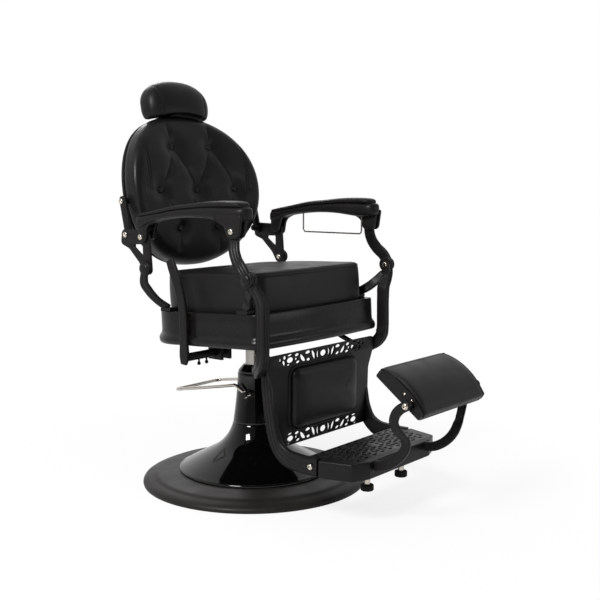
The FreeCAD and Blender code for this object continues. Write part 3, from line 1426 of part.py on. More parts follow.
ends = []
for side in (-1, 1):
    plate = padded("YZ_Plane", [
        (s.calf_long, zero, 4),
        (s.calf_long, s.calf_edge - 3, 6),
        (s.calf_long * 0.45, s.calf_end_crown, 80),
        (s.calf_long * -0.45, s.calf_end_crown, 80),
        (-s.calf_long, s.calf_edge - 3, 6),
        (-s.calf_long, zero, 4),
    ], s.calf_end, [(s.calf_pivot, s.calf_pivot_up, s.calf_pin + s.pin_fit)])
    ends.append(on_calf(plate, low_x(side, end_in, s.calf_end)))
keep(group(*ends), "calf_ends")
board = padded("YZ_Plane", [
    (-s.calf_long, zero, 0),
    (s.calf_long, zero, 0),
    (s.calf_long, s.calf_board, 0),
    (-s.calf_long, s.calf_board, 0),
], end_in * 2)
keep(on_calf(board, -end_in), "calf_board")
rings = []
half_profile = [(1, 0.93), (0.985, 0.965), (0.95, 0.99), (0.88, 1.0)]
profile = [(-share, size) for share, size in half_profile] + half_profile[::-1]
for share, size in profile:
    u = share * (float(s.calf_half) - 0.2)
    long = float(s.calf_long) + 3 - (1 - size) * 30
    high = float(s.calf_crown) * size
    edge_up = float(s.calf_edge) * size
    low = float(s.calf_board) + gap
    points = [
        Vector(u, long - 2, low),
        Vector(u, -long + 2, low),
        Vector(u, -long, edge_up - 4),
        Vector(u, -long + 5, edge_up + 2),
        Vector(u, long - 5, edge_up + 2),
        Vector(u, long, edge_up - 4),
    ]
    arcs = [
        None,
        None,
        Vector(u, -long + 1.2, edge_up),
        Vector(u, 0, high),
        Vector(u, long - 1.2, edge_up),
        None,
    ]
    rings.append(loop(points, arcs))
keep(on_calf(formed(Part.makeLoft(rings, True, True))), "calf_cushion")

# Side lever, on the sitter's right
half = s.lever_width / 2
lever_rise = s.lever_top - s.lever_z
lever_outline = [
    (2 - half, s.lever_low, 8),
    (2 + half, s.lever_low, 8),
    (half, s.lever_z + lever_rise * 0.181, 90),
    (half + 5, s.lever_z + lever_rise * 0.465, 120),
    (half + 28, s.lever_z + lever_rise * 0.745, 90),
    (s.lever_top_y + half, s.lever_top - 3, 8),
    (s.lever_top_y - half, s.lever_top + 3, 8),
    (28 - half, s.lever_z + lever_rise * 0.764, 90),
    (5 - half, s.lever_z + lever_rise * 0.48, 120),
    (-half, s.lever_z + lever_rise * 0.181, 90),
]
keep(flat(lever_outline, low_x(-1, s.lever_inner, s.lever_thick), s.lever_thick), "side_lever")
keep(pin(-1, s.shaft_radius, s.shaft_end, s.lever_inner - s.shaft_end, zero, s.lever_z), "lever_shaft")
screws = []
for out in (s.screw_out, s.screw_in):
    neck = cylinder(s.stud_radius / 2, Dim(14), -out, 0, s.lever_z - s.shaft_radius - 11)
    knob = doc.addObject("Part::Sphere", "Ball")
    bind(knob, "Radius", s.stud_radius)
    place(knob, -out, 0, s.lever_z - s.shaft_radius - 11)
    screws.append(fused(neck, knob))
shaft = pieces[-1]
keep(cut(group(*screws), shaft), "lever_screws")
cheek_low = s.lever_z - s.shaft_radius - 9
cheek_high = plate_low - cheek_low
cheeks = [
    block(-s.cheek_outer, s.cheek_depth / -2, cheek_low, s.cheek_thick, s.cheek_depth, cheek_high),
    block(
        -s.cheek_inner - s.cheek_thick, s.cheek_depth / -2, cheek_low,
        s.cheek_thick, s.cheek_depth, cheek_high,
    ),
    block(
        -s.cheek_outer, s.cheek_depth / -2, plate_low - s.cheek_thick,
        s.cheek_outer - s.cheek_inner, s.cheek_depth, s.cheek_thick,
    ),
]
bearing_long = s.cheek_outer - s.cheek_inner + 6
bearing = pin(-1, s.shaft_radius + s.pin_fit, s.cheek_inner - 3, bearing_long, zero, s.lever_z)
keep(cut(fused(*cheeks), bearing), "lever_bracket")

doc.recompute()
faults = []
for item in doc.Objects:
    if "Invalid" in item.State or "Error" in item.State:
        faults.append(item.Name + " " + str(item.State))
for item in pieces:
    if item.Shape.isNull() or not item.Shape.isValid() or not item.Shape.Solids:
        faults.append(item.Label + " has no valid solid")
if faults:
    raise RuntimeError("; ".join(faults))
os.makedirs("parts", exist_ok=True)
for item in pieces:
    item.Shape.exportStep("parts/{}.step".format(item.Label))
print(len(pieces), "pieces written")
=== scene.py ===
# %% [markdown]
# # A vintage barber chair in Blender
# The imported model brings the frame: every casting, bolt and cushion block is in its real place.
# This file dresses it. Each cell makes one kind of piece or finish, and says why it is made that way.
# Lengths are written in millimetres, as on a drawing, and turned to metres when a mesh is made.
# The chair faces -Y, +Z is up, and left and right are the sitter's own.

import math

import bmesh
import bpy
import numpy as np
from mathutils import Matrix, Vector


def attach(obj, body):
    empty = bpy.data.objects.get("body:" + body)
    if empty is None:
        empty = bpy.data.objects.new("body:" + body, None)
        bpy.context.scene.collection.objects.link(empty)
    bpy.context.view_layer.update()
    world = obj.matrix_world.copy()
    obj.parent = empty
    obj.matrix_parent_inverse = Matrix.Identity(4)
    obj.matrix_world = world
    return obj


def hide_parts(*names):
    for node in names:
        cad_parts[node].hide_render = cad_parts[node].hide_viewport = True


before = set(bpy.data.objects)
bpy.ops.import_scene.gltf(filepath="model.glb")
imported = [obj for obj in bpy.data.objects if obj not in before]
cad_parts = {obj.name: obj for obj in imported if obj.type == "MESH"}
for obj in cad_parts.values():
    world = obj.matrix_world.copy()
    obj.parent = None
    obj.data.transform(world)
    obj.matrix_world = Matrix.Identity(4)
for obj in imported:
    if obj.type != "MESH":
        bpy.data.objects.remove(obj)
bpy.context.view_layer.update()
MM = 0.001
SIDES = ((-1, "right"), (1, "left"))

# %% [markdown]
# ## Helpers for finishes
# A finish is a small tree of nodes. Colours are written as sRGB hex values, as a paint chart gives them,
# and one function turns them to the linear light that the shader works in. Another adds a node with its
# settings and links, so a tree reads as a short list.

# %% Colour and node helpers
def paint(code):
    """sRGB hex to linear: up to 0.04045 divide by 12.92, above it ((c + 0.055) / 1.055) to the power 2.4."""
    share = np.array([int(code[i:i + 2], 16) for i in (1, 3, 5)]) / 255
    light = np.where(share <= 0.04045, share / 12.92, ((share + 0.055) / 1.055) ** 2.4)
    return (*light.tolist(), 1.0)


def fresh_tree(owner):
    """An empty node tree on a material or on the world."""
    owner.use_nodes = True
    owner.node_tree.nodes.clear()
    return owner.node_tree


def add(tree, kind, inputs=None, **settings):
    """Adds one node: settings by name, inputs by name from plain values or from other nodes' sockets."""
    made = tree.nodes.new(kind)
    for name, value in settings.items():
        setattr(made, name, value)
    for name, value in (inputs or {}).items():
        if isinstance(value, bpy.types.NodeSocket):
            tree.links.new(value, made.inputs[name])
        else:
            made.inputs[name].default_value = value
    return made


def per_mm(size):
    """The scale that makes a pattern repeat about once in so many millimetres, in object coordinates."""
    return 1 / (size * MM)


# %% [markdown]
# ## One recipe for every finish
# Leather, enamel and powder coat all have two close tones in soft clouds, a fine grain that dents the
# surface, and gloss that changes a little from place to place. A picture could show that, but it would
# stretch over curved pieces. Noise on object coordinates keeps its size in millimetres everywhere.

# %% The recipe
TONE_DARK, TONE_LIGHT, TONE_OUT = 6, 7, 2
GRAIN_DEPTH = 0.6 * MM


def coated(name, dark, light, rough, grain, dent, blotch=60, spread=0.06, pebble=False, **shader):
    """A finish with two close tones in clouds of blotch mm, a grain of so many mm that dents the surface,
    pebbled or not, and roughness that follows the clouds within rough - spread to rough + spread."""
    made = bpy.data.materials.new(name)
    tree = fresh_tree(made)
    place = add(tree, "ShaderNodeTexCoord").outputs["Object"]
    cloud = add(tree, "ShaderNodeTexNoise", {
        "Vector": place, "Scale": per_mm(blotch), "Detail": 3.0,
    }).outputs["Fac"]
    tone = add(tree, "ShaderNodeMix", {
        "Factor": cloud, TONE_DARK: paint(dark), TONE_LIGHT: paint(light),
    }, data_type="RGBA")
    gloss = add(tree, "ShaderNodeMapRange", {
        "Value": cloud, "From Min": 0.3, "From Max": 0.7,
        "To Min": max(rough - spread, 0.02), "To Max": min(rough + spread, 1.0),
    })
    pattern = {"Vector": place, "Scale": per_mm(grain)}
    if pebble:
        skin = add(tree, "ShaderNodeTexVoronoi", pattern).outputs["Distance"]
    else:
        skin = add(tree, "ShaderNodeTexNoise", {**pattern, "Detail": 2.0}).outputs["Fac"]
    bump = add(tree, "ShaderNodeBump", {"Height": skin, "Strength": dent, "Distance": GRAIN_DEPTH})
    surface = add(tree, "ShaderNodeBsdfPrincipled", {
        "Base Color": tone.outputs[TONE_OUT],
        "Roughness": gloss.outputs["Result"],
        "Normal": bump.outputs["Normal"],
    })
    for socket, value in shader.items():
        surface.inputs[socket.replace("_", " ")].default_value = value
    add(tree, "ShaderNodeOutputMaterial", {"Surface": surface.outputs["BSDF"]})
    return made


# %% [markdown]
# ## The finishes
# The chair is black all over, so its finishes differ by gloss: satin leather, eggshell powder coat,
# deep lacquer on the column, sheet metal with a soft shine, bright chrome. The true grain of leather
# is under a millimetre and a pixel here is about three, so grains are drawn coarser than life to show.

# %% Black finishes
# Coated upholstery leather, embossed: satin, with a pebbled grain that breaks up its sheen.
leather = coated("black_upholstery_leather", "#0e0d0d", "#161414", 0.4, 3.2, 0.22, pebble=True,
                 Specular_IOR_Level=0.2)
# Vinyl skin moulded over the arm pads: smoother and duller than the leather.
arm_vinyl = coated("moulded_black_vinyl", "#111010", "#191717", 0.46, 3.0, 0.12, Specular_IOR_Level=0.14)
# Cast aluminium under powder coat: eggshell, with a faint orange peel.
casting = coated("powder_coated_cast_aluminium", "#0f0e0e", "#171515", 0.4, 4.0, 0.1,
                 Specular_IOR_Level=0.17)
# Sheet steel under baked enamel: flatter and glossier, so it carries long soft reflections.
band_enamel = coated("satin_enamelled_sheet_steel", "#0d0c0c", "#141312", 0.27, 14.0, 0.04, blotch=90,
                     Specular_IOR_Level=0.2)
# Cast iron under a textured coat: the palest black, nearly matt and a little gritty.
base_coat = coated("textured_coat_on_cast_iron", "#191817", "#23211f", 0.48, 3.5, 0.16,
                   Specular_IOR_Level=0.16)
# Lacquer, sprayed and polished: deep black and nearly a mirror.
lacquer = coated("black_gloss_lacquer", "#030303", "#060606", 0.07, 90.0, 0.02, spread=0.02,
                 Specular_IOR_Level=0.36)
# Moulded rubber: matt.
rubber = coated("black_rubber", "#0d0d0d", "#141313", 0.75, 2.5, 0.2, Specular_IOR_Level=0.2)
# Plywood under dark stain: brown-black, with a soft figure where it shows at all.
plywood = coated("stained_plywood", "#1f1814", "#2c2219", 0.6, 9.0, 0.18, blotch=25, Specular_IOR_Level=0.2)
# Steel with a black oxide skin: dark, with an oily sheen.
iron = coated("black_oxide_steel", "#0e0d0d", "#161413", 0.38, 5.0, 0.12, Specular_IOR_Level=0.2)
# Embossed backing vinyl: a matt version of the leather, for faces that no one leans on.
rear_vinyl = coated("black_backing_vinyl", "#121212", "#1b1a1a", 0.5, 4.5, 0.2, pebble=True,
                    Specular_IOR_Level=0.18)

# %% Bright finishes
# Chrome plate on bent rod: a mirror, slightly warm.
chrome = coated("polished_chrome_plate", "#b8b3ac", "#cfcac2", 0.14, 30.0, 0.02, Metallic=1.0)
# Zinc-plated steel, tumbled: bright under a fine haze.
zinc = coated("bright_zinc_bolt", "#b3aca2", "#d0c9be", 0.22, 8.0, 0.05, Metallic=1.0)
# Hard chrome on a ground rod: a greyer, softer mirror.
hard_chrome = coated("ground_hard_chrome", "#8d8b88", "#a5a29d", 0.22, 20.0, 0.03, Metallic=1.0)
# Turned bearing bronze: warm, with a dull shine.
bronze = coated("bearing_bronze", "#7b5a33", "#94703f", 0.38, 6.0, 0.08, Metallic=1.0)
print("finishes:", len(bpy.data.materials))

# %% [markdown]
# ## Helpers for surfaces
# Every new piece is a grid of points worked out as whole arrays: a section carried along a path,
# a profile turned round an axis, or an outline drawn in ring by ring. A grid is woven into quads,
# and one function joins such surfaces into a piece that rides on a body of the frame.

# %% Weave grids
def full_turn(count):
    """Angles evenly spread once round."""
    return np.linspace(0, 2 * np.pi, count, endpoint=False)


def signed_power(value, power):
    """The power of a value's size with the value's own sign, which squares off a sine or a cosine."""
    return np.sign(value) * np.abs(value) ** power


def weave(grid, along=False):
    """Quads of a grid of closed rings: each joins a point to its next row and column; if closed along as
    well, the last ring is joined to the first."""
    rows, columns = grid.shape[:2]
    index = np.arange(rows * columns).reshape(rows, columns)
    index = np.hstack([index, index[:, :1]])
    if along:
        index = np.vstack([index, index[:1]])
    quads = np.stack([index[:-1, :-1], index[:-1, 1:], index[1:, 1:], index[1:, :-1]], -1)
    return quads.reshape(-1, 4).tolist()


def closed(grid):
    """A solid run of rings: the grid's quads, with a flat cap on the first and on the last ring."""
    count = grid.shape[1]
    total = grid.shape[0] * count
    caps = [list(range(count))[::-1], list(range(total - count, total))]
    return grid.reshape(-1, 3), weave(grid) + caps


def torus(grid):
    """A ring-shaped solid, closed both ways."""
    return grid.reshape(-1, 3), weave(grid, along=True)


# %% Join surfaces into pieces
MERGE = 0.002 * MM


def linked(name, data):
    """A new object of some data, in the scene."""
    made = bpy.data.objects.new(name, data)
    bpy.context.scene.collection.objects.link(made)
    return made


def piece(name, parts, body, finish, stands_for=(), crease=35):
    """Joins surfaces into one object: merged, turned outward, shaded smooth up to a crease angle, and riding
    on its body in place of the nodes it stands for."""
    points = []
    faces = []
    start = 0
    for spots, shapes in parts:
        points.append(np.asarray(spots) * MM)
        faces += [[start + i for i in shape] for shape in shapes]
        start += len(spots)
    mesh = bpy.data.meshes.new(name)
    mesh.from_pydata(np.concatenate(points).tolist(), [], faces)
    work = bmesh.new()
    work.from_mesh(mesh)
    bmesh.ops.remove_doubles(work, verts=work.verts, dist=MERGE)
    bmesh.ops.recalc_face_normals(work, faces=work.faces)
    work.to_mesh(mesh)
    work.free()
    mesh.shade_smooth()
    mesh.set_sharp_from_angle(angle=math.radians(crease))
    mesh.materials.append(finish)
    made = linked(name, mesh)
    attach(made, body)
    if stands_for:
        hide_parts(*stands_for)
    print(name, len(mesh.vertices), "points")
    return made


# %% [markdown]
# ## The three slopes
# The seat, the back and the calf pad are each drawn level and then tilted about the X axis, as on the
# drawing. Turned objects would do that too, but a finished piece's object stays unturned at the origin,
# so a small function turns the points instead.

# %% Slopes
SEAT_SLOPE = 3
SEAT_FRONT = -240
SEAT_LENGTH = 422
SEAT_TOP = 525


def tilted(angle, y, z):
    """A function that turns (x, along, up) places about X by an angle in degrees and moves them to (y, z)."""
    c = math.cos(math.radians(angle))
    s = math.sin(math.radians(angle))

    def lay(spots):
        spots = np.asarray(spots, float)
        along = spots[..., 1]
        up = spots[..., 2]
        return np.stack([spots[..., 0], y + along * c - up * s, z + along * s + up * c], -1)
    return lay


def ledge(y):
    """Height of the seat band's sloping ledge at a place along the chair."""
    return SEAT_TOP - (y - SEAT_FRONT) * math.tan(math.radians(SEAT_SLOPE))


on_seat = tilted(-SEAT_SLOPE, SEAT_FRONT, SEAT_TOP)
on_back = tilted(-8, 300, 826)
on_calf = tilted(37, -588.5, 344.6)
print("ledge height at the rear:", round(ledge(SEAT_FRONT + SEAT_LENGTH), 1), "mm")

# %% [markdown]
# ## Floor plate, bell and column
# These were spun or cast round. Stacked cylinders with bevels would come close, but a profile turned about
# the upright axis lets each shoulder have its own curve. The plate keeps a shoulder ring that catches the
# light; the bell sweeps into the neck on one arc, in deep lacquer.

# %% Turned shapes
def spun(profile, origin, axis, count=40):
    """A profile (radius, height) turned round an axis: origin + height * axis + radius * (cos a, sin a)."""
    profile = np.asarray(profile, float)
    axis = np.array(axis, float)
    first = np.cross(axis, [0, 0, 1.0] if abs(axis[2]) < 0.9 else [1.0, 0, 0])
    first /= np.linalg.norm(first)
    second = np.cross(axis, first)
    angle = full_turn(count)
    rim = np.cos(angle)[:, None] * first + np.sin(angle)[:, None] * second
    return closed(np.array(origin) + profile[:, None, 1:] * axis + profile[:, None, :1] * rim)


def turned_wall(profile, count=160):
    """A closed profile (radius, height) of a wall, turned round the upright axis: (r cos a, r sin a, h)."""
    profile = np.array(profile)
    angle = full_turn(count)
    radius = profile[:, :1]
    return torus(np.stack([radius * np.cos(angle), radius * np.sin(angle), profile[:, 1:] + 0 * angle], -1))


# %% Turn the base
FLOOR_PLATE = [
    (0, 36), (180, 36), (222, 35.4), (240, 33), (262, 30.5), (276, 29.5), (284, 27.5), (288, 24.5),
    (293, 22.6), (303, 20), (311, 16.5), (317, 12.5), (319.6, 8), (320, 4), (319, 0.6), (316, 0),
    (298, 0), (290, 10), (277, 16), (216, 27), (88, 27), (84, 20), (84, 1.5), (82, 0), (0, 0),
]


def bell_profile(lip=216.0, foot=42.0, sweep=120.0, neck=57.5, joint=169.0):
    """Bell profile: upright lip, cone at 28 degrees, then an arc of radius sweep up to the joint with the
    column, and the wall's inner side back down."""
    slope = math.radians(28)
    top = foot + (lip - neck) * math.tan(slope) + sweep * math.tan((math.pi / 2 - slope) / 2)
    turn = np.linspace(slope, math.acos((top - joint) / sweep), 22)
    arc_r = neck + sweep - sweep * np.sin(turn)
    arc_z = top - sweep * np.cos(turn)
    cone_r = np.linspace(lip - 2.5, arc_r[0], 14)[:-1]
    cone_z = foot + (lip - cone_r) * math.tan(slope)
    outer = [(lip, 36.2), (lip, 40), (lip - 0.7, 42.2), *zip(cone_r, cone_z), *zip(arc_r, arc_z)]
    inner = [(arc_r[-1] - 0.7, joint + 0.6), (55, joint + 0.6), (55, 120), (213, 44), (213.4, 36.2)]
    return outer + inner


rise = np.linspace(1, 0, 26)
flank = np.column_stack([46.4 + 14.2 * rise ** 1.5, 314 - 143.4 * rise])
sleeve = [(53, 46.2), (53, 160), (54, 169.9), (60, 169.9), *flank, (45.4, 315), (40, 315), (40, 46.2)]
plate_solid = spun(FLOOR_PLATE, (0, 0, 0), (0, 0, 1), 160)
piece("floor_plate", [plate_solid], "base", base_coat, ["base_plate"], crease=50)
piece("bell", [turned_wall(bell_profile())], "base", lacquer, ["bell_cover"], crease=50)
piece("column", [turned_wall(sleeve)], "base", lacquer, ["column_sleeve"], crease=50)

# %% [markdown]
# ## Seat band
# The band is one sheet-metal strip bent round the seat: a ledge on top, a plain wall, and a rolled bead
# at the bottom, with the front bowed forward a little. A bevelled curve can't draw the ledge further in
# at the sides than at the front, so the section is carried round the outline by a formula instead.

# %% Carry the band's section round the seat
def seat_ring(side, front, rear, front_round, rear_round, steps=14, run=26, bow=16):
    """A rectangle with rounded corners as points (across, along), evenly spread on each edge and corner; its
    front is bowed out by bow * (1 - (x / side)^2), which fades toward the rear."""
    x = np.linspace(0, 1, run, endpoint=False)
    turn = np.linspace(0, np.pi / 2, steps, endpoint=False)
    f, r = front_round, rear_round
    edges = [
        np.stack([-side + f + x * (2 * side - 2 * f), 0 * x + front], -1),
        np.stack([side - f + f * np.sin(turn), front + f - f * np.cos(turn)], -1),
        np.stack([0 * x + side, front + f + x * (rear - r - front - f)], -1),
        np.stack([side - r + r * np.cos(turn), rear - r + r * np.sin(turn)], -1),
        np.stack([side - r - x * (2 * side - 2 * r), 0 * x + rear], -1),
        np.stack([-side + r - r * np.sin(turn), rear - r + r * np.cos(turn)], -1),
        np.stack([0 * x - side, rear - r - x * (rear - r - front - f)], -1),
        np.stack([-side + f - f * np.cos(turn), front + f - f * np.sin(turn)], -1),
    ]
    ring = np.concatenate(edges)
    fade = (rear - ring[:, 1]) / (rear - front)
    ring[:, 1] -= bow * (1 - (ring[:, 0] / side) ** 2) * fade ** 2
    return ring


def at_height(ring, height):
    """An outline (across, along) as points at one height."""
    return np.column_stack([ring, np.full(len(ring), height)])


def band_ring(out, height, drawn=0.0):
    """The band's outline moved outward, and drawn in toward the ledge's inner edge by a share from 0 to 1."""
    deep, wide = 16 * drawn, 29 * drawn
    ring = seat_ring(256 + out - wide, deep - out, SEAT_LENGTH + out - deep,
                     max(26 + out - deep, 8), 120 + out - wide)
    return at_height(ring, height)


BAND = [
    (0, -4, 1), (0, -0.8, 1), (0, 0, 0.96), (0, 0, 0.5), (-3.2, 0), (-1.6, -0.3), (-0.4, -1.6), (0, -3.4),
    (0, -28), (0, -52), (0.4, -57), (1.6, -61.5), (4.2, -65.4), (6.8, -69), (8.2, -73.4), (8.6, -78),
    (8, -83), (6.2, -87), (3, -89), (-1, -89), (-3, -87), (-3, -40), (-3, -5), (-3.4, -4), (0, -4, 0.5),
]
band_grid = on_seat(np.stack([band_ring(*row) for row in BAND]))
piece("band", [torus(band_grid)], "seat", band_enamel, ["seat_band"], crease=40)

# %% [markdown]
# ## Cloth for the padded pieces
# Foam stretches the cover that is sewn round it. Blender's cloth with air pressure finds where a cover
# swells most, but it also leaves small creases that tight upholstery doesn't have. So only the broad part
# of the movement is kept: it is evened out along the edges, then capped at a few millimetres.

# %% Swell a cover
FRAMES = 20
PASSES = 60
TINY = 1e-9
COVER = {
    "quality": 5, "mass": 0.3, "tension_stiffness": 15, "compression_stiffness": 15, "bending_stiffness": 12,
    "use_pressure": True, "uniform_pressure_force": 4.0, "vertex_group_mass": "held",
}


def places(mesh):
    """The points of a mesh as rows (x, y, z), in metres."""
    spots = np.zeros(len(mesh.vertices) * 3)
    mesh.vertices.foreach_get("co", spots)
    return spots.reshape(-1, 3)


def evened(move, mesh):
    """Movements evened out along a mesh's edges: in each pass, half a point's own and half its neighbours'
    mean."""
    ends = np.zeros(len(mesh.edges) * 2, int)
    mesh.edges.foreach_get("vertices", ends)
    one, two = ends.reshape(-1, 2).T
    shares = np.bincount(ends, minlength=len(move))[:, None] + TINY
    for _ in range(PASSES):
        total = np.zeros_like(move)
        np.add.at(total, one, move[two])
        np.add.at(total, two, move[one])
        move = 0.5 * move + 0.5 * total / shares
    return move


def puffed(made, held, cap):
    """Cloth for a padded piece: air pressure swells its cover while its held points stay. The movement is
    evened out, then capped as move * cap * tanh(|move| / cap) / |move|."""
    before = places(made.data)
    cover = linked("cover", made.data.copy())
    group = cover.vertex_groups.new(name="held")
    group.add(list(range(len(before))), 0.0, "REPLACE")
    group.add(np.flatnonzero(held(before)).tolist(), 1.0, "REPLACE")
    cloth = cover.modifiers.new("cloth", "CLOTH")
    for name, value in COVER.items():
        setattr(cloth.settings, name, value)
    cloth.settings.effector_weights.gravity = 0
    cloth.collision_settings.use_collision = False
    cloth.point_cache.frame_end = FRAMES
    for step in range(1, FRAMES + 1):
        bpy.context.scene.frame_set(step)
    after = places(cover.evaluated_get(bpy.context.evaluated_depsgraph_get()).to_mesh())
    move = evened(after - before, made.data)
    size = np.linalg.norm(move, axis=1, keepdims=True) + TINY
    reach = cap * MM
    swelled = before + move / size * reach * np.tanh(size / reach)
    made.data.vertices.foreach_set("co", swelled.ravel())
    made.data.update()
    bpy.data.objects.remove(cover)
    bpy.context.scene.frame_set(1)
    print(made.name, "swelled by at most", round(float(size.max() / MM), 1), "mm before the cap")


# %% [markdown]
# ## Seat cushion
# A box cushion: upright boxing round the sides, drawn in a little at its foot, a sewn seam under the top
# edge, and a low crown. A subdivided box would round every edge alike, so the cushion is drawn ring by
# ring toward the middle, which keeps the seam sharp. Cloth then swells it by up to 3 mm.

# %% Seat cushion rings
def cushion_rings(profile, half, front, rear, front_round, rear_round):
    """Rings of a cushion: each row (inset, height) draws the outline in by its inset and lifts it."""
    rows = []
    for inset, height in profile:
        ring = seat_ring(half - inset, front + inset, rear - inset,
                         max(front_round - 0.1 * inset, 10), max(rear_round - 0.5 * inset, 20))
        rows.append(at_height(ring, height))
    return np.stack(rows)


EDGE, CROWN, CROWN_RINGS = 106, 7.5, 24
HELD_FOOT = 7
boxing = [
    (3.5, -3.4), (2.4, 1), (1.8, 6), (1, 14), (0.4, 24), (0.1, 36), (0, 50), (0.1, 62), (0.4, 74),
    (0.8, 83), (1.1, 89),
]
sewn = [(1.3, 92.4), (2.6, 94), (1.4, 95.6)]
roll = [(1.5, 97.6), (2.6, 100.6), (4.8, 103.4), (8.4, 105.4), (13, 106.4)]
crown = [
    (13 + 7.2 * i, EDGE + CROWN * (1 - (1 - i / CROWN_RINGS) ** 2)) for i in range(1, CROWN_RINGS + 1)
]
seat_grid = on_seat(cushion_rings(boxing + sewn + roll + crown, 227, 16, 406, 28, 100))
seat_pad = piece("seat_pad", [closed(seat_grid)], "seat", leather, ["seat_cushion"],
                 crease=60)
puffed(seat_pad, lambda p: p[:, 2] < (ledge(p[:, 1] / MM) + HELD_FOOT) * MM, 3)

# %% [markdown]
# ## Buttoned back
# The back is deep-buttoned: seven buttons pull the cover into the filling, and the slack leather
# between them folds into pleats. It could be sculpted, or simulated with pinned points, but a formula puts
# every pleat where it belongs. The face is a height over the curved board, and each button and pleat
# lowers it by a function of the distance to a point or to a line.

# %% Back cushion face
HALF, RISE, BARREL, POWER = 256, 221, 690, 2.1
BOARD_GAP = 0.6
BUTTONS = [(0, -4), (-79, 122), (79, 122), (-153, -4), (153, -4), (-79, -114), (79, -114)]
FOLDS = [
    (0, 1, 1.0), (0, 2, 1.0), (3, 1, 0.7), (4, 2, 0.9), (0, 5, 0.6), (0, 6, 0.6), (3, 5, 0.6), (4, 6, 0.6),
]
TAILS = [
    (1, (-84, 200)), (2, (84, 200)), (3, (-222, -6)), (4, (222, -6)), (5, (-84, -196)), (6, (84, -196)),
]
SEAM, SECOND_SEAM = 196, 8
EDGE_ROLL = 24


def barrel(u):
    """How far the board's curve comes forward: sqrt(R^2 - u^2) - R."""
    return np.sqrt(BARREL ** 2 - np.asarray(u, float) ** 2) - BARREL


def off_line(u, v, start, end):
    """Distance of places from a stretch of line, and how far along it they lie, from 0 to 1."""
    run = np.subtract(end, start)
    share = ((u - start[0]) * run[0] + (v - start[1]) * run[1]) / (run @ run)
    share = np.clip(share, 0, 1)
    return np.hypot(u - start[0] - share * run[0], v - start[1] - share * run[1]), share


def deepest(dips):
    """A soft maximum: the fifth root of the sum of fifth powers, so that dips that meet don't add up."""
    return sum(dip ** 5 for dip in dips) ** 0.2


def back_height(u, v):
    """Face height over the board: a crown that falls to the edge, less the deepest of the dimples at the
    buttons, the V-shaped folds between them and their tails, and two sewn lines at the side panels."""
    edge = np.clip((np.abs(u / HALF) ** POWER + np.abs(v / RISE) ** POWER) ** (1 / POWER), 0, 1)
    side = 52 + 12 * (u / HALF) ** 2
    crest = 92 + 14 * (u / HALF) ** 2 - 40 * (u / HALF) ** 6
    height = side + (crest - side) * (1 - edge ** 2.3)
    dips = []
    for x, y in BUTTONS:
        far = np.hypot(u - x, v - y)
        dips.append(13 * np.exp(-(far / 34) ** 2) + 5 * np.exp(-far / 12))
    for first, last, depth in FOLDS:
        far, share = off_line(u, v, BUTTONS[first], BUTTONS[last])
        ends = 0.5 + 0.5 * np.abs(2 * share - 1)
        dips.append(depth * ends * (6.5 * np.exp(-far / 3.6) + 6 * np.exp(-(far / 19) ** 2)))
    for first, last in TAILS:
        far, share = off_line(u, v, BUTTONS[first], last)
        dips.append((1 - share) ** 0.7 * (6 * np.exp(-far / 3.2) + 6 * np.exp(-(far / 17) ** 2)))
    height = height - deepest(dips)
    upper = np.clip((v + 8) / 6, 0, 1)
    for offset in (0, SECOND_SEAM):
        far = np.abs(np.abs(u) - SEAM - offset)
        height = height - 2 * upper * np.exp(-(far / 2) ** 2)
    fall = np.clip((edge - 0.88) / 0.12, 0, 1)
    return height - EDGE_ROLL * (1 - np.sqrt(1 - np.minimum(fall, 0.999) ** 2))


# %% Back cushion
def back_rim(spokes):
    """The back's outline, a superellipse: HALF * cos(a)^(2/p) across and RISE * sin(a)^(2/p) up."""
    angle = full_turn(spokes)
    return HALF * signed_power(np.cos(angle), 2 / POWER), RISE * signed_power(np.sin(angle), 2 / POWER)


def back_grid(rings=120, spokes=360):
    """The whole cushion: face rings from the middle out, the boxing, then the rear face to the middle."""
    rim_u, rim_v = back_rim(spokes)
    outer = 0.87 + 0.13 * np.sin(np.linspace(0, np.pi / 2, 16))[1:]
    share = np.concatenate([np.linspace(0.004, 0.87, rings), outer])
    u = share[:, None] * rim_u
    v = share[:, None] * rim_v
    face = np.stack([u, barrel(u) - BOARD_GAP - back_height(u, v), v], -1)
    rim = face[-1]
    depth = barrel(rim[:, 0]) - BOARD_GAP - rim[:, 1]
    sides = [(0.75, 0.997), (0.5, 0.998), (0.3, 0.996), (0.16, 0.99), (0.06, 0.975), (0.0, 0.945)]
    sides += [(0.0, shrink) for shrink in np.linspace(0.8, 0.01, 9)]
    rear = []
    for drop, shrink in sides:
        ring = rim * [shrink, 1, shrink]
        ring[:, 1] = barrel(ring[:, 0]) - BOARD_GAP - drop * depth
        rear.append(ring)
    return np.concatenate([face, np.stack(rear)])


back_pad = piece("buttoned_back", [closed(on_back(back_grid()))], "back", leather,
                 ["back_cushion"], crease=75)

# %% [markdown]
# ## Rear cover and buttons
# Behind the cushion lies its board, in a vinyl cover that is rolled over the edge. It has the same outline
# a little smaller, so the rows below only give a share of that outline and a depth. The buttons are small
# domes turned about the back's own normal, each set on the floor of its dimple.

# %% Rear cover and buttons
COVER_ROWS = [
    (0.02, 0), (0.5, 0), (0.94, 0), (0.97, 0.6), (0.982, 2.4), (0.986, 5), (0.984, 8), (0.976, 10.4),
    (0.962, 11.8), (0.94, 12.3), (0.925, 11.6), (0.91, 12.3), (0.5, 12.4), (0.02, 12.4),
]
BUTTON = [(0, -2), (8.4, -2), (9.4, 1.6), (9.6, 4.4), (9, 6), (7.2, 7.2), (4, 8), (0, 8.2)]


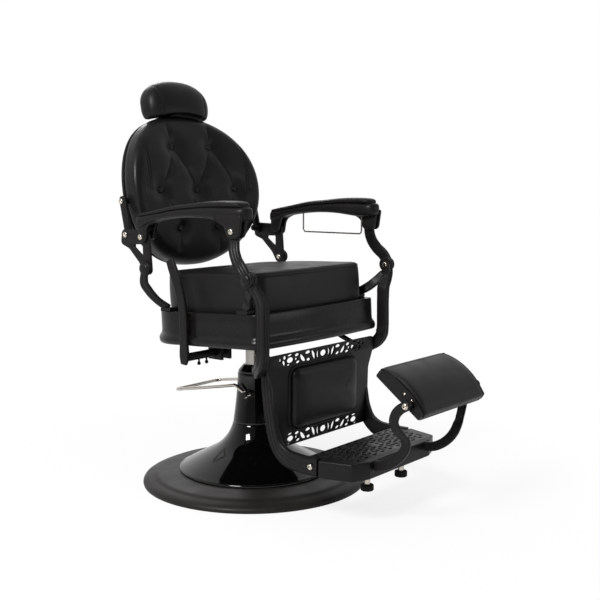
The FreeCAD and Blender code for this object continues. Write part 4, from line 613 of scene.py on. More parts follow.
def rear_cover(spokes=200):
    """The board in its cover: for each share s and depth, a ring (s * rim_u, barrel + depth, s * rim_v)."""
    rim_u, rim_v = back_rim(spokes)
    rows = [np.stack([s * rim_u, barrel(s * rim_u) + depth, s * rim_v], -1) for s, depth in COVER_ROWS]
    return closed(on_back(np.stack(rows)))


piece("rear_cover", [rear_cover()], "back", rear_vinyl, ["back_board"], crease=60)
forward = on_back([0, -1, 0]) - on_back([0, 0, 0])
button_parts = []
for x, y in BUTTONS:
    sunk = barrel(x) - BOARD_GAP - back_height(x, y)
    button_parts.append(spun(BUTTON, on_back([x, sunk, y]), forward, 28))
piece("buttons", button_parts, "back", leather, ["back_buttons"], crease=60)

# %% [markdown]
# ## Headrest
# A small loaf of foam in a three-panel cover: round over the top, tighter below, nearly flat behind.
# A scaled ball would be too pointed at its ends, so it is a superellipse section that shrinks late toward
# both ends, with a sewn line where the end panels start. Cloth swells it, as it does the seat.

# %% Headrest surface
def headrest_grid(rows=120, spokes=110, half=120, middle=250, back=-25, above=75, below=62, seam_at=86):
    """Sections along the width, u = half * sin(a): each is a superellipse, above and below its widest line,
    shrunk by (1 - |sin a|^p)^(1/p); the underside is kept just over the back's own top line."""
    a = np.linspace(-np.pi / 2 * 0.995, np.pi / 2 * 0.995, rows)[:, None]
    b = full_turn(spokes)[None]
    along = np.abs(np.sin(a))
    u = half * np.sin(a)
    top, low, deep = ((1 - along ** p) ** (1 / p) for p in (2.3, 3.2, 3.0))
    cos = signed_power(np.cos(b), 0.8)
    sin = signed_power(np.sin(b), 0.8)
    v = middle + np.where(sin > 0, above * top, below * low) * sin
    w = back + np.where(cos > 0, 46, 48) * deep * cos + 6 * (sin > 0) * sin * top
    seam = 2.2 * np.exp(-((np.abs(u) - seam_at) / 2.4) ** 2)
    size = np.hypot(v - middle, w - back) + 1e-6
    v = v - seam * (v - middle) / size
    w = w - seam * (w - back) / size
    behind = np.clip((w - 13) / 8, 0, 1) ** 2
    back_top = RISE * (1 - np.abs(u / HALF) ** POWER) ** (1 / POWER) + 1.5 - 22 * behind
    v = np.where(v < back_top + 12, back_top + 12 * np.exp((v - back_top - 12) / 12), v)
    return np.stack([u + 0 * b, w, v], -1)


HELD_LOW = 30
headrest = piece("head_pad", [closed(on_back(headrest_grid()))], "headrest", leather,
                 ["headrest_cushion"], crease=75)
puffed(headrest, lambda p: p[:, 2] < p[:, 2].min() + HELD_LOW * MM, 3)

# %% [markdown]
# ## Armrests
# Each arm is a casting that swells into a nose at the front and forks round the back's bracket at the
# rear, with a moulded pad on top. Casting and pad are the same kind of surface: a rounded section whose
# top, bottom and width change along the arm. The lugs and tabs are flat, so they are raised outlines.

# %% Smooth lines and flat castings
def curve(rows, count):
    """A smooth line through rows of numbers: cubic Hermite pieces over chord length, with slopes taken from
    the neighbours."""
    rows = np.asarray(rows, float)
    chord = np.linalg.norm(np.diff(rows[:, :3], axis=0), axis=1)
    knots = np.r_[0, np.cumsum(chord)]
    slope = np.gradient(rows, knots, axis=0)
    at = np.linspace(0, knots[-1], count)
    k = np.clip(np.searchsorted(knots, at, side="right") - 1, 0, len(knots) - 2)
    step = (knots[k + 1] - knots[k])[:, None]
    x = (at - knots[k])[:, None] / step
    start = (2 * x ** 3 - 3 * x ** 2 + 1) * rows[k] + (x ** 3 - 2 * x ** 2 + x) * step * slope[k]
    end = (3 * x ** 2 - 2 * x ** 3) * rows[k + 1] + (x ** 3 - x ** 2) * step * slope[k + 1]
    return start + end


def rounded(corners, steps=8):
    """An outline through corners (across, up, round): each corner becomes an arc tangent to its two edges."""
    corners = np.asarray(corners, float)
    spot = corners[:, :2]
    back = np.roll(spot, 1, 0) - spot
    ahead = np.roll(spot, -1, 0) - spot
    back /= np.linalg.norm(back, axis=1, keepdims=True)
    ahead /= np.linalg.norm(ahead, axis=1, keepdims=True)
    half = np.arccos(np.clip((back * ahead).sum(1), -1, 1)) / 2
    reach = (corners[:, 2] / np.tan(half))[:, None]
    x = np.linspace(0, 1, steps)[None, :, None]
    start = (spot + back * reach)[:, None]
    end = (spot + ahead * reach)[:, None]
    weight = np.sin(half)[:, None, None]
    lower = (1 - x) ** 2 + 2 * weight * x * (1 - x) + x ** 2
    arc = ((1 - x) ** 2 * start + 2 * weight * x * (1 - x) * spot[:, None] + x ** 2 * end) / lower
    return arc.reshape(-1, 2)


def plate(rings, thick, soft, lay):
    """A flat casting: closed outlines filled with the inner ones left open, raised to a thickness with
    rounded rims; lay turns its own (across, up, out) places into the chair's."""
    line = bpy.data.curves.new("outline", "CURVE")
    line.dimensions = "2D"
    line.fill_mode = "BOTH"
    line.extrude = (thick / 2 - soft) * MM
    line.bevel_depth = soft * MM
    line.bevel_resolution = 2
    line.offset = -soft * MM
    for ring in rings:
        spline = line.splines.new("POLY")
        spline.points.add(len(ring) - 1)
        four = np.zeros((len(ring), 4))
        four[:, :2] = np.asarray(ring) * MM
        spline.points.foreach_set("co", four.ravel())
        spline.use_cyclic_u = True
    holder = linked("outline", line)
    bpy.context.view_layer.update()
    flat = bpy.data.meshes.new_from_object(holder.evaluated_get(bpy.context.evaluated_depsgraph_get()))
    spots = places(flat) / MM
    faces = [list(face.vertices) for face in flat.polygons]
    bpy.data.objects.remove(holder)
    bpy.data.curves.remove(line)
    bpy.data.meshes.remove(flat)
    return lay(spots), faces


def beside(side, middle):
    """Lays a plate drawn as (y, z) on one side of the chair, its middle at a distance from the centre."""
    return lambda p: np.stack([side * (middle + p[:, 2]), p[:, 0], p[:, 1]], -1)


def boss(side, y, z, inner, outer, radius, soft=2.0, dome=0.0):
    """A round boss along X: straight flank, rounded rims, and a crown of so many millimetres if asked."""
    turn = np.linspace(0, np.pi / 2, 5)
    rim = [(radius - soft + soft * np.sin(t), inner + soft * (1 - np.cos(t))) for t in turn]
    rim += [(radius - soft + soft * np.cos(t), outer - soft * (1 - np.sin(t))) for t in turn]
    if dome:
        rise = np.linspace(0, np.pi / 2, 7)[1:]
        rim += [((radius - soft) * np.cos(t), outer + dome * np.sin(t)) for t in rise]
    return spun(rim, (0, y, z), (side, 0, 0))


# %% Armrest castings and pads
ARM_MIDDLE = 275
ARM_PIN = (-198, 734.6)
CASTING = [
    (153, 733, 766, 25), (151, 731, 768, 26.2), (141, 733, 769, 26.5), (122, 741, 771, 26.5),
    (95, 751, 774, 26.5), (61, 757, 778, 26.5), (18, 762, 785, 27), (-63, 765, 793, 27),
    (-104, 763, 796, 27), (-142, 759, 797, 27), (-170, 756, 797, 27), (-196, 755, 796.5, 27),
    (-209, 756, 796, 26.6), (-219, 758, 795.4, 24.6), (-227, 761, 794, 20), (-232, 765, 792, 14),
    (-235, 770, 788, 6),
]
PAD = [
    (151, 762, 768.5, 22), (147, 763, 771.6, 25), (136, 764, 774, 26), (61, 774, 788, 26.5),
    (18, 781, 796, 26.6), (-63, 788, 804, 26.6), (-104, 791, 808, 26.6), (-160, 793, 810, 26.6),
    (-192, 793, 809.5, 26.4), (-206, 793, 808.4, 25), (-215, 793, 806, 21), (-221, 793, 802.5, 13),
]
LUG = [(-231, 776, 6), (-222, 718, 15), (-184, 718, 15), (-172, 748, 18), (-138, 764, 1), (-140, 776, 1)]
OUTER_TAB = [(152, 760, 3), (74, 766, 1), (80, 757, 2), (119, 741, 30), (128, 694, 13), (157, 694, 13)]
INNER_TAB = [(152, 760, 3), (92, 764, 1), (114, 744, 20), (127, 702, 10), (155, 702, 12)]


def arm_run(rows, side, power, count=70, spokes=44):
    """A run of rounded sections along rows (y, bottom, top, half width): superellipses of one power."""
    y, low, high, half = curve(rows, count).T[..., None]
    b = full_turn(spokes)[None]
    x = side * (ARM_MIDDLE + half * signed_power(np.cos(b), 2 / power))
    z = (low + high) / 2 + (high - low) / 2 * signed_power(np.sin(b), 2 / power)
    return closed(np.stack([x, y + 0 * b, z], -1))


for side, word in SIDES:
    parts = [
        arm_run(CASTING, side, 3.2),
        plate([rounded(INNER_TAB, 10)], 12, 3, beside(side, 259)),
        plate([rounded(LUG, 10)], 9, 2.6, beside(side, 299.8)),
        plate([rounded(LUG, 10)], 9, 2.6, beside(side, 279.9)),
        plate([rounded(OUTER_TAB, 10)], 12, 3, beside(side, 288)),
        boss(side, *ARM_PIN, 294.5, 303.9, 17.5, 2.2),
    ]
    piece("arm_" + word, parts, "arm_" + word, casting, ["arm_casting_" + word])
    pad = piece("arm_cap_" + word, [arm_run(PAD, side, 2.8)], "arm_" + word, arm_vinyl,
                ["arm_pad_" + word], crease=60)

# %% [markdown]
# ## Fluted castings
# Legs, links, rear supports and foot struts are all cast with rounded ribs along them. Ribs cut by hand
# into each bar would be slow and uneven, so one ribbed section is carried along each casting's line, with
# round bosses where pins go through.

# %% Ribbed bars
def rib_face(count):
    """Places across one face from -1 to 1, and the dip there: 1 - |sin(count * pi * share)|^0.7, or none."""
    place = np.linspace(-1, 1, 8 * max(count, 1) + 1)
    if not count:
        return place, 0 * place
    return place, 1 - np.abs(np.sin(count * np.pi * (place + 1) / 2)) ** 0.7


def sections(width, thick, ribs=0, side_ribs=0, groove=1.8, soft=3.0):
    """Outlines (broad, across) of a cast bar: a rectangle with corners of radius soft, whose outer face, and
    sides if asked, dip between half-round ribs. Each part below gives, for the two directions, shares of
    the flat (half size - soft) and of the corner (soft), and then the dips of the sides and of the face."""
    turn = np.linspace(0, np.pi / 2, 5)[1:-1]
    out, dip = rib_face(ribs)
    down, cheek = rib_face(side_ribs)
    none = 0 * turn
    under = np.array([1.0, 0, -1])
    parts = [
        (out, 0 * out, 0 * out + 1, 0 * out + 1, 0 * out, dip),
        (none + 1, np.sin(turn), none + 1, np.cos(turn), none, none),
        (0 * down + 1, 0 * down + 1, -down, 0 * down, cheek, 0 * down),
        (none + 1, np.cos(turn), none - 1, -np.sin(turn), none, none),
        (under, 0 * under, 0 * under - 1, 0 * under - 1, 0 * under, 0 * under),
        (none - 1, -np.sin(turn), none - 1, -np.cos(turn), none, none),
        (0 * down - 1, 0 * down - 1, down, 0 * down, -cheek, 0 * down),
        (none - 1, -np.cos(turn), none + 1, np.sin(turn), none, none),
    ]
    columns = [np.concatenate(column) for column in zip(*parts)]
    width = np.asarray(width, float)[:, None]
    thick = np.asarray(thick, float)[:, None]
    soft = np.minimum(soft, np.minimum(width, thick) * 0.45)
    broad = columns[0] * (width / 2 - soft) + columns[1] * soft - groove * columns[4]
    across = columns[2] * (thick / 2 - soft) + columns[3] * soft - groove * columns[5]
    return np.stack([broad, across], -1)


def cast_bar(rows, side, count, **section):
    """A bar along rows (x, y, z, width, thick): its section stands square to the path in the YZ plane,
    thick along X, with its ribbed face outward."""
    line = curve(rows, count)
    spot = line[:, :3] * [side, 1, 1]
    run = np.gradient(spot, axis=0)
    broad = np.stack([0 * run[:, 0], -run[:, 2], run[:, 1]], -1)
    broad /= np.linalg.norm(broad, axis=1, keepdims=True)
    ring = sections(line[:, 3], line[:, 4], **section)
    across = np.array([side, 0.0, 0.0])
    return closed(spot[:, None] + ring[..., :1] * broad[:, None] + ring[..., 1:] * across)


def foot_block(side, y):
    """A casting's foot on the ledge: a soft-edged slab, 36 by 10 mm in section, laid on the slope."""
    x = np.array([228, 242, 256.0])
    ring = sections(0 * x + 36, 0 * x + 10, soft=2.5)
    tilt = math.radians(-SEAT_SLOPE)
    broad = np.array([0, math.cos(tilt), math.sin(tilt)])
    lift = np.array([0, -math.sin(tilt), math.cos(tilt)])
    spot = np.stack([side * x, 0 * x + y, 0 * x + ledge(y) + 5], -1)
    return closed(spot[:, None] + ring[..., :1] * broad + ring[..., 1:] * lift)


# %% Legs, links, supports and struts
KNUCKLE = (-252.5, 618)
REAR_KNUCKLE = (135, 624)
LEG = [
    (295, -252, 622, 32, 12), (294.6, -254.5, 614, 33, 12.5), (291, -261, 596, 33, 14),
    (277, -265, 576, 32, 20), (266, -265, 556, 31, 23), (264, -265, 530, 29, 24), (264, -265, 470, 29, 24),
    (264, -265, 441, 29, 24), (263, -262, 417, 30, 24), (256, -250, 397, 31, 24), (243, -231, 383, 31, 23),
    (230, -214, 372, 31, 22), (222, -203, 365, 22, 18),
]
BRANCH = [
    (287.6, -249.5, 592, 23, 14), (276.6, -230.5, 570, 25, 15), (254, -210, 549, 25, 15),
    (246, -186, 537, 22, 13),
]
LINK = [
    (290, -196, 736, 32, 10), (291.5, -196.5, 708.6, 33, 10), (296, -201.5, 686.6, 33, 10.5),
    (302, -215, 664.6, 33, 11), (307.5, -235, 644.6, 33, 11), (307, -252.5, 618, 34, 10),
]
SUPPORT = [
    (287, 135, 622, 24, 10), (287, 140, 602, 26, 10), (286, 141, 584, 29, 10), (278, 133, 564, 27, 11),
    (263, 113, 536, 22, 12), (246, 92, 517, 22, 12),
]
STRUT = [
    (202, -234, 398, 29, 15), (202, -230, 372, 32, 16), (202, -228, 345, 33, 16), (202, -231, 312, 33, 16),
    (202, -238, 258, 33, 16), (202, -247, 212, 35, 16), (202, -263, 178, 39, 16), (202, -290, 158, 44, 16),
    (202, -330, 151, 46, 16), (202, -393, 150, 46, 16),
]
for side, word in SIDES:
    leg = [
        cast_bar(LEG, side, 110, ribs=2, side_ribs=2, groove=1.6),
        cast_bar(BRANCH, side, 40, ribs=2, groove=1.2, soft=4),
        boss(side, *KNUCKLE, 291.6, 301.6, 22, 2.5),
        boss(side, -217, 374, 196, 236, 15, 3),
        foot_block(side, -188),
    ]
    piece("leg_casting_" + word, leg, "seat", casting, ["leg_" + word])
    link = [
        cast_bar(LINK, side, 70, ribs=3, groove=1.8),
        boss(side, *ARM_PIN, 285, 295, 17, 2.2),
        boss(side, *KNUCKLE, 302, 312, 20, 2.5),
    ]
    piece("link_" + word, link, "link_" + word, casting)
    support = [
        cast_bar(SUPPORT, side, 60, ribs=2, groove=1.3, soft=4),
        boss(side, *REAR_KNUCKLE, 282, 292, 20, 2.5),
        foot_block(side, 92),
    ]
    piece("support_" + word, support, "seat", casting, ["rear_support_" + word])
    strut = cast_bar(STRUT, side, 90, ribs=3, groove=1.8)
    piece("foot_strut_" + word, [strut], "seat", casting, ["strut_" + word])

# %% [markdown]
# ## Knuckles and bright bolts
# Outside, the two main knuckles end in black domes. Inside them, and at the link tops, bright button-head
# bolts with hexagon sockets show. A socket could be cut with a boolean, but it is cleaner in the head's
# own profile: the rings simply turn from round to six-sided.

# %% Domes and bolts
BAR_BOLTS = ((219, 712), (244, 803))
BACK_PIN = (143, 709)
CALF_PIVOT = (-626.17, 333.11)
NUT = [(0.2, 0), (9, 0), (9.4, 0.6), (9.4, 5), (8.6, 6), (0.2, 6)]


def bolt_head(origin, axis, radius=8.0, high=5.0, socket=3.7):
    """A button head on an axis: rows (radius, share of the height, six-sided or not) for the flank, the domed
    shoulder and the socket; a hexagon's radius is cos(30) / cos(a mod 60 - 30) of its corner's."""
    angle = full_turn(36)
    six = np.cos(np.pi / 6) / np.cos((angle % (np.pi / 3)) - np.pi / 6)
    rows = np.array([
        (0.2, 0, 0), (radius * 0.97, 0, 0), (radius, 0.06, 0), (radius, 0.32, 0), (radius * 0.94, 0.6, 0),
        (radius * 0.78, 0.86, 0), (socket * 1.25, 1, 0), (socket, 1, 1), (socket, 0.36, 1), (0.2, 0.36, 1),
    ])
    size = rows[:, :1] * np.where(rows[:, 2:] > 0, six, 1)
    axis = np.array(axis, float)
    first = np.cross(axis, [0, 0, 1.0])
    rim = np.cos(angle)[:, None] * first + np.sin(angle)[:, None] * np.cross(axis, first)
    return closed(np.array(origin) + high * rows[:, None, 1:2] * axis + size[..., None] * rim)


domes = []
for side, word in SIDES:
    domes.append(boss(side, *KNUCKLE, 312.2, 313, 15, 0.3, dome=6))
    domes.append(boss(side, *REAR_KNUCKLE, 292.2, 293, 16, 0.3, dome=6))
piece("knuckle_domes", domes, "seat", casting, ["knuckle_bolts"], crease=60)
knuckle_heads = []
back_heads = []
frame_heads = []
pad_heads = []
for side, word in SIDES:
    out = (side, 0, 0)
    into = (-side, 0, 0)
    knuckle_heads.append(bolt_head((side * 291.4, *KNUCKLE), into))
    knuckle_heads.append(bolt_head((side * 271.8, *REAR_KNUCKLE), into))
    for x, place in ((281.6, BAR_BOLTS[0]), (271.6, BAR_BOLTS[1]), (294.3, BACK_PIN)):
        back_heads.append(bolt_head((side * x, *place), out))
    back_heads.append(spun(NUT, (side * 271.8, *BACK_PIN), into, 6))
    frame_heads.append(bolt_head((side * 210, -374, 150), out))
    frame_heads.append(bolt_head((side * 264, -251, 427), (0, 1, 0), high=7))
    pad_heads.append(bolt_head((side * 169, *CALF_PIVOT), out, radius=8.6, high=6))
    pin = [boss(side, *ARM_PIN, 294, 304.4, 8, 0.3), bolt_head((side * 304.4, *ARM_PIN), out)]
    piece("link_pin_" + word, pin, "link_" + word, zinc, ["front_link_" + word])
piece("knuckle_heads", knuckle_heads, "seat", zinc)
piece("bracket_bolts", back_heads, "back", zinc, ["back_bolts"])
piece("strut_bolts", frame_heads, "seat", zinc, ["frame_bolts"])
piece("pad_pivot_bolts", pad_heads, "seat", zinc, ["pad_bolts"])

# %% [markdown]
# ## Brackets and upright bars
# The back hangs on two triangular brackets with a window, and two flat bars. Both are flat castings with
# rounded rims, so they are outlines raised to a thickness; the window is an inner outline left open.

# %% Bracket plates
BRACKET = [
    (127, 725, 13), (234, 728, 14), (239, 687, 12), (206, 675, 24), (166, 638, 40), (146, 606, 12),
    (118, 607, 14),
]
WINDOW = [(151, 688, 4), (195, 687, 5), (151, 655, 4)]
BAR = [(206.5, 699, 10), (230, 696, 10), (256.5, 816, 10), (233, 819, 10)]
bars = []
for side, word in SIDES:
    bracket = plate([rounded(BRACKET), rounded(WINDOW)[::-1]], 9.6, 2.6, beside(side, 276.8))
    piece("back_bracket_" + word, [bracket], "back", casting, ["bracket_" + word])
    bars.append(plate([rounded(BAR)], 11.6, 2.6, beside(side, 265.8)))
    bars += [boss(side, y, z, 244, 261, 9, 1.0) for y, z in BAR_BOLTS]
piece("upright_bars", bars, "back", casting, ["back_bars"])

# %% [markdown]
# ## Pierced leg panel
# The panel is a casting pierced with scrolls. Booleans would cut them, slowly and with ragged faces, so
# each opening is an inner outline of the same raised plate: a leaf bent along an arc, or an oval. A list
# places them on one half, and the other half is its mirror image.

# %% Openings for pierced work
def placed(across, up, x, y, turn):
    """Turns an outline by an angle in degrees and moves its middle to (x, y)."""
    c = math.cos(math.radians(turn))
    s = math.sin(math.radians(turn))
    return np.stack([x + across * c - up * s, y + across * s + up * c], -1)


def leaf(x, y, long, wide, turn=0.0, bend=0.0, blunt=0.7):
    """A leaf: spine bent as a parabola, half width = wide / 2 * sin(pi t)^blunt."""
    t = np.linspace(0, 1, 15)
    along = np.concatenate([t, t[-2:0:-1]])
    half = wide / 2 * np.sin(np.pi * along) ** blunt * np.r_[np.ones(15), -np.ones(13)]
    return placed((along - 0.5) * long, half + bend * (1 - (2 * along - 1) ** 2), x, y, turn)


def oval(x, y, wide, high, turn=0.0):
    """An ellipse as an outline: (wide / 2 cos a, high / 2 sin a)."""
    a = full_turn(20)
    return placed(wide / 2 * np.cos(a), high / 2 * np.sin(a), x, y, turn)


def both(outlines):
    """Outlines of one half and their mirror images."""
    return outlines + [ring[::-1] * [-1, 1] for ring in outlines]


def whole(corners):
    """Corners of one half of an outline, and the other half's in the order that closes it."""
    return corners + [(-x, y, r) for x, y, r in reversed(corners)]


def scroll_band(z, reach):
    """One band of the panel, 30 mm high: an oval in the middle, then bent leaves, darts and drops out to a
    reach."""
    half = [
        leaf(20, z, 29, 9, 90, -5), leaf(43.5, z, 31, 12, 62, 2), leaf(66, z + 9.5, 24, 9, 0, 1),
        leaf(64, z - 9.5, 18, 8, 6, 0.5), leaf(87.5, z - 1, 31, 12, 40, -2), leaf(112, z + 9.5, 20, 8),
        leaf(108, z - 10, 18, 7), oval(116, z - 0.7, 10, 7.4), leaf(140, z - 1, 29, 15, 0, 0, 0.55),
        leaf(141, z + 12.2, 20, 5, -3), leaf(147, z - 12.6, 14, 4, 6), oval(162, z + 8, 13, 10, 10),
        leaf(166, z - 6, 17, 10, 50, 1), oval(180, z + 4, 8, 10),
    ]
    return [oval(0, z, 27, 17)] + both([ring for ring in half if ring[:, 0].max() < reach])


# %% Panel plate and rim
def wall(front, thick):
    """Lays a plate drawn as (x, z) upright, with its front face at a given y."""
    return lambda p: np.stack([p[:, 0], front + thick / 2 - p[:, 2], p[:, 1]], -1)


PANEL_HALF = [(204, 171, 8), (210, 330, 40), (232, 378, 24), (236, 416, 12)]
CHEEK = [(150, 208, 12), (204, 186, 6), (209, 330, 40), (226, 386, 16), (150, 376, 14)]
RIM_OUT = [(-150, 205, 30), (150, 205, 30), (150, 380, 30), (-150, 380, 30)]
RIM_IN = [(-141, 210, 26), (141, 210, 26), (141, 375, 26), (-141, 375, 26)]
pierced = scroll_band(397.5, 190) + scroll_band(188.5, 156)
panel_parts = [plate([rounded(whole(PANEL_HALF))] + pierced, 5, 0.7, wall(-253, 5))]
for side, word in SIDES:
    cheek = rounded([(side * x, z, r) for x, z, r in CHEEK])
    panel_parts.append(plate([cheek], 4, 1.4, wall(-249.5, 4)))
rim = plate([rounded(RIM_OUT), rounded(RIM_IN)[::-1]], 6, 2.2, wall(-256, 6))
piece("scroll_panel", panel_parts, "seat", casting, ["leg_panel"], crease=40)
piece("panel_rim", [rim], "seat", casting)

# %% [markdown]
# ## Panel cushion
# A thin pad of foam in leather, held by the rim round it. It is the seat cushion's drawing set upright:
# rings that draw in and come forward, then cloth for the last 2.5 mm of swell.

# %% Panel cushion
def upright_rings(profile, half, low, high, corner, front):
    """Rings of a small cushion on an upright face: each row (inset, rise) draws in and comes forward."""
    rows = []
    for inset, rise in profile:
        bend = max(corner - 0.4 * inset, 6)
        ring = seat_ring(half - inset, low + inset, high - inset, bend, bend, steps=10, run=20, bow=0)
        rows.append(np.stack([ring[:, 0], 0 * ring[:, 0] + front - rise, ring[:, 1]], -1))
    return np.stack(rows)


HELD_REAR = -258.5
SWELL = [
    (0.8, 0), (0, 3), (0.3, 6), (1.4, 9.5), (4, 13), (8, 15.6), (14, 17.8), (24, 19.6), (36, 20.8),
    (50, 21.5), (64, 21.8),
]
panel_grid = upright_rings(SWELL, 139, 211, 374, 24, -254.3)
panel_pad = piece("panel_pad", [closed(panel_grid)], "seat", leather, ["panel_cushion"],
                  crease=60)
puffed(panel_pad, lambda p: p[:, 1] > HELD_REAR * MM, 2.5)

# %% [markdown]
# ## Footplate
# The tread is pierced like the panel and lies inside a deep rim. The rim is a section carried round the
# outline, with rounded upper and lower edges, so the two meet in a soft line as a casting does.

# %% Tread and rim
TREAD_ROWS = ((-378, 0, 168), (-417, 18, 168), (-456, 0, 146))
TREAD_HALF = 182
STEP = [(193.6, -352, 7, -1), (193.6, -395, 2, 0), (212, -400, 3, 0), (188, -486, 7, 0), (138, -505, 7, 1)]
RIM = [
    (7, 163), (7, 127), (6, 125.4), (4, 125), (2, 125.2), (0.5, 126.4), (0, 128.5), (0, 150), (0, 166.5),
    (0.6, 168.8), (2, 169.8), (4.5, 170), (7, 169.6),
]


def scroll_tread():
    """The tread's field: rows (y, shift, end) of paired leaves round ovals, each half a step on."""
    rings = []
    for y, shift, end in TREAD_ROWS:
        for step in range(5):
            x = 36 * step + shift
            if x > end:
                continue
            unit = [
                oval(x, y, 10, 10), leaf(x, y + 13.5, 19, 7, 0, 3), leaf(x, y - 13.5, 19, 7, 0, -3),
                leaf(x + 17.5, y, 23, 7, 90, 3 if step % 2 else -3),
            ]
            for ring in unit:
                if ring[:, 0].min() > 2 and ring[:, 0].max() < TREAD_HALF:
                    rings += both([ring])
            if x == 0:
                rings += unit[:3]
    return rings


def step_ring(inset):
    """The footplate's outline from corners (x, y, round, way): drawn in at the sides, and along y by way."""
    return rounded(whole([(x - inset, y + way * inset, r) for x, y, r, way in STEP]), 6)


rim_grid = np.stack([at_height(step_ring(inset), height) for inset, height in RIM])
tread = plate([step_ring(5)] + scroll_tread(), 7, 1.2, lambda p: p + [0, 0, 166.2])
piece("foot_tread", [tread, torus(rim_grid)], "seat", casting, ["footplate"], crease=40)

# %% [markdown]
# ## Calf pad
# The pad rides on two S-shaped flat arms. Its cushion is one curved section from end to end, a little
# smaller at both ends, with piping along the end edges. The section is plain enough that a formula shows
# it better than cloth. The end plates and board are the frame's own pieces with better finishes.

# %% Calf cushion
CALF_HALF = 141.8
CALF_ENDS = [
    (1, 0.87), (0.994, 0.905), (0.982, 0.935), (0.966, 0.957), (0.945, 0.974), (0.915, 0.988), (0.87, 0.997),
    (0.8, 1.0),
]


def calf_section(size):
    """The cushion's section (along, up): flat underside, short upright edges with 8 mm rounds, one arc over
    the top, lift + 5 + rise * (1 - |x|^2.1)."""
    long = 80 - (1 - size) * 30
    lift = 22 * size
    high = 44 * size
    x = np.linspace(-1, 1, 41)
    top = np.stack([x * (long - 8), lift + 5 + (high - lift - 5) * (1 - np.abs(x) ** 2.1)], -1)
    turn = np.linspace(0, np.pi / 2, 6)[:-1]
    left = np.stack([-long + 8 - 8 * np.cos(turn), lift - 3 + 8 * np.sin(turn)], -1)
    low = np.array([(-long + 1.5, 8.4), (-long, 11)])
    rest = np.array([(0, 8.4)])
    right = left[::-1] * [-1, 1]
    return np.concatenate([low, left, top, right, low[::-1] * [-1, 1], rest])


def across_at(x, section):
    """A section (along, up) as points at one place across the chair."""
    return np.column_stack([np.full(len(section), x), section])


stations = [(-u, size) for u, size in CALF_ENDS]
stations += [(u, 1.0) for u in np.linspace(-0.7, 0.7, 9)] + CALF_ENDS[::-1]
calf_grid = on_calf(np.stack([across_at(u * CALF_HALF, calf_section(size)) for u, size in stations]))
calf_pad = piece("calf_cushion_cover", [closed(calf_grid)], "calf", leather,
                 ["calf_cushion"], crease=60)


# %% Piping, arms and screws of the calf pad
def piping(line, radius, spokes=10):
    """A round cord along a line of points: circles square to the line."""
    run = np.gradient(line, axis=0)
    run /= np.linalg.norm(run, axis=1, keepdims=True)
    first = np.cross(run, [1.0, 0, 0])
    first /= np.linalg.norm(first, axis=1, keepdims=True)
    second = np.cross(run, first)
    a = full_turn(spokes)
    ring = np.cos(a)[None, :, None] * first[:, None] + np.sin(a)[None, :, None] * second[:, None]
    return closed(line[:, None] + radius * ring)


CALF_ARM = [
    (118, -506.6, 157, 25, 10), (118, -529, 160, 25, 10), (118, -555, 172, 25, 10), (118, -579, 192, 25, 10),
    (118, -595, 215, 25, 10), (123, -600, 233, 25, 10), (141, -597, 253, 25, 10), (156, -593, 271, 25, 10),
    (164, -591, 290, 25, 10), (164, -596, 308, 25, 10), (164, -609, 323, 25, 10), (164, *CALF_PIVOT, 24, 10),
]
end_edge = calf_section(0.93)[1:-3]
trim = [piping(on_calf(across_at(side * 140.4, end_edge)), 1.8) for side, word in SIDES]
piece("calf_piping", trim, "calf", leather, crease=60)
screws = []
for side, word in SIDES:
    parts = [cast_bar(CALF_ARM, side, 90, soft=3.2), boss(side, *CALF_PIVOT, 148.7, 169, 12, 2.0)]
    piece("calf_arm_" + word, parts, "seat", casting, ["pad_arm_" + word])
    for along, rise in ((-10, 24), (-34, 25)):
        spot = on_calf([side * 148.2, along, rise])
        screws.append(bolt_head(spot, (side, 0, 0), radius=3.6, high=2.6, socket=1.6))
piece("calf_screws", screws, "calf", zinc)

# %% [markdown]
# ## Side lever and stays
# The lever is a forged bar with soft edges, and two cast stays tie the panel to the seat plate. They are
# the legs' kind of bar without ribs, so the same function draws them.

# %% Lever and stays
LEVER = [
    (271, 7, 374, 20, 9), (271, 6, 384, 26, 10), (271, 6, 442, 26, 10), (271, 9, 521, 27, 10),
    (271, 24, 580, 29, 10), (271, 46, 630, 29, 10), (271, 55, 650, 27, 9),
]
STAY = [
    (149, -124, 445, 14, 12), (159, -162, 432, 13, 12), (175.6, -190, 412, 13, 12),
    (182.6, -224, 397, 14, 12), (184.6, -241.5, 390, 22, 13),
]
piece("hand_lever", [cast_bar(LEVER, -1, 80, soft=3.4)], "lever", casting, ["side_lever"])
stays = [cast_bar(STAY, side, 40, soft=3.5) for side, word in SIDES]
piece("panel_stays", stays, "seat", casting, ["frame_stays"])

# %% [markdown]
# ## Towel rail
# A thin bright wire hangs under the left arm in a shallow U. A bevelled curve would do; the piping
# function is at hand and gives a plain mesh at once. Its two ends go up into the casting.

# %% Towel rail
TOWEL_WIRE = [(39, 770, 1), (39, 705, 9), (-179, 705, 9), (-179, 770, 1)]
wire_line = across_at(ARM_MIDDLE, rounded(TOWEL_WIRE, 7)[4:-4])
piece("towel_wire", [piping(wire_line, 2.4)], "arm_left", hard_chrome, ["towel_rail"], crease=60)

# %% [markdown]
# ## Finishes for the frame's own pieces
# Rods, plates, boards and feet already have their real shapes, so they stay and only take a finish.

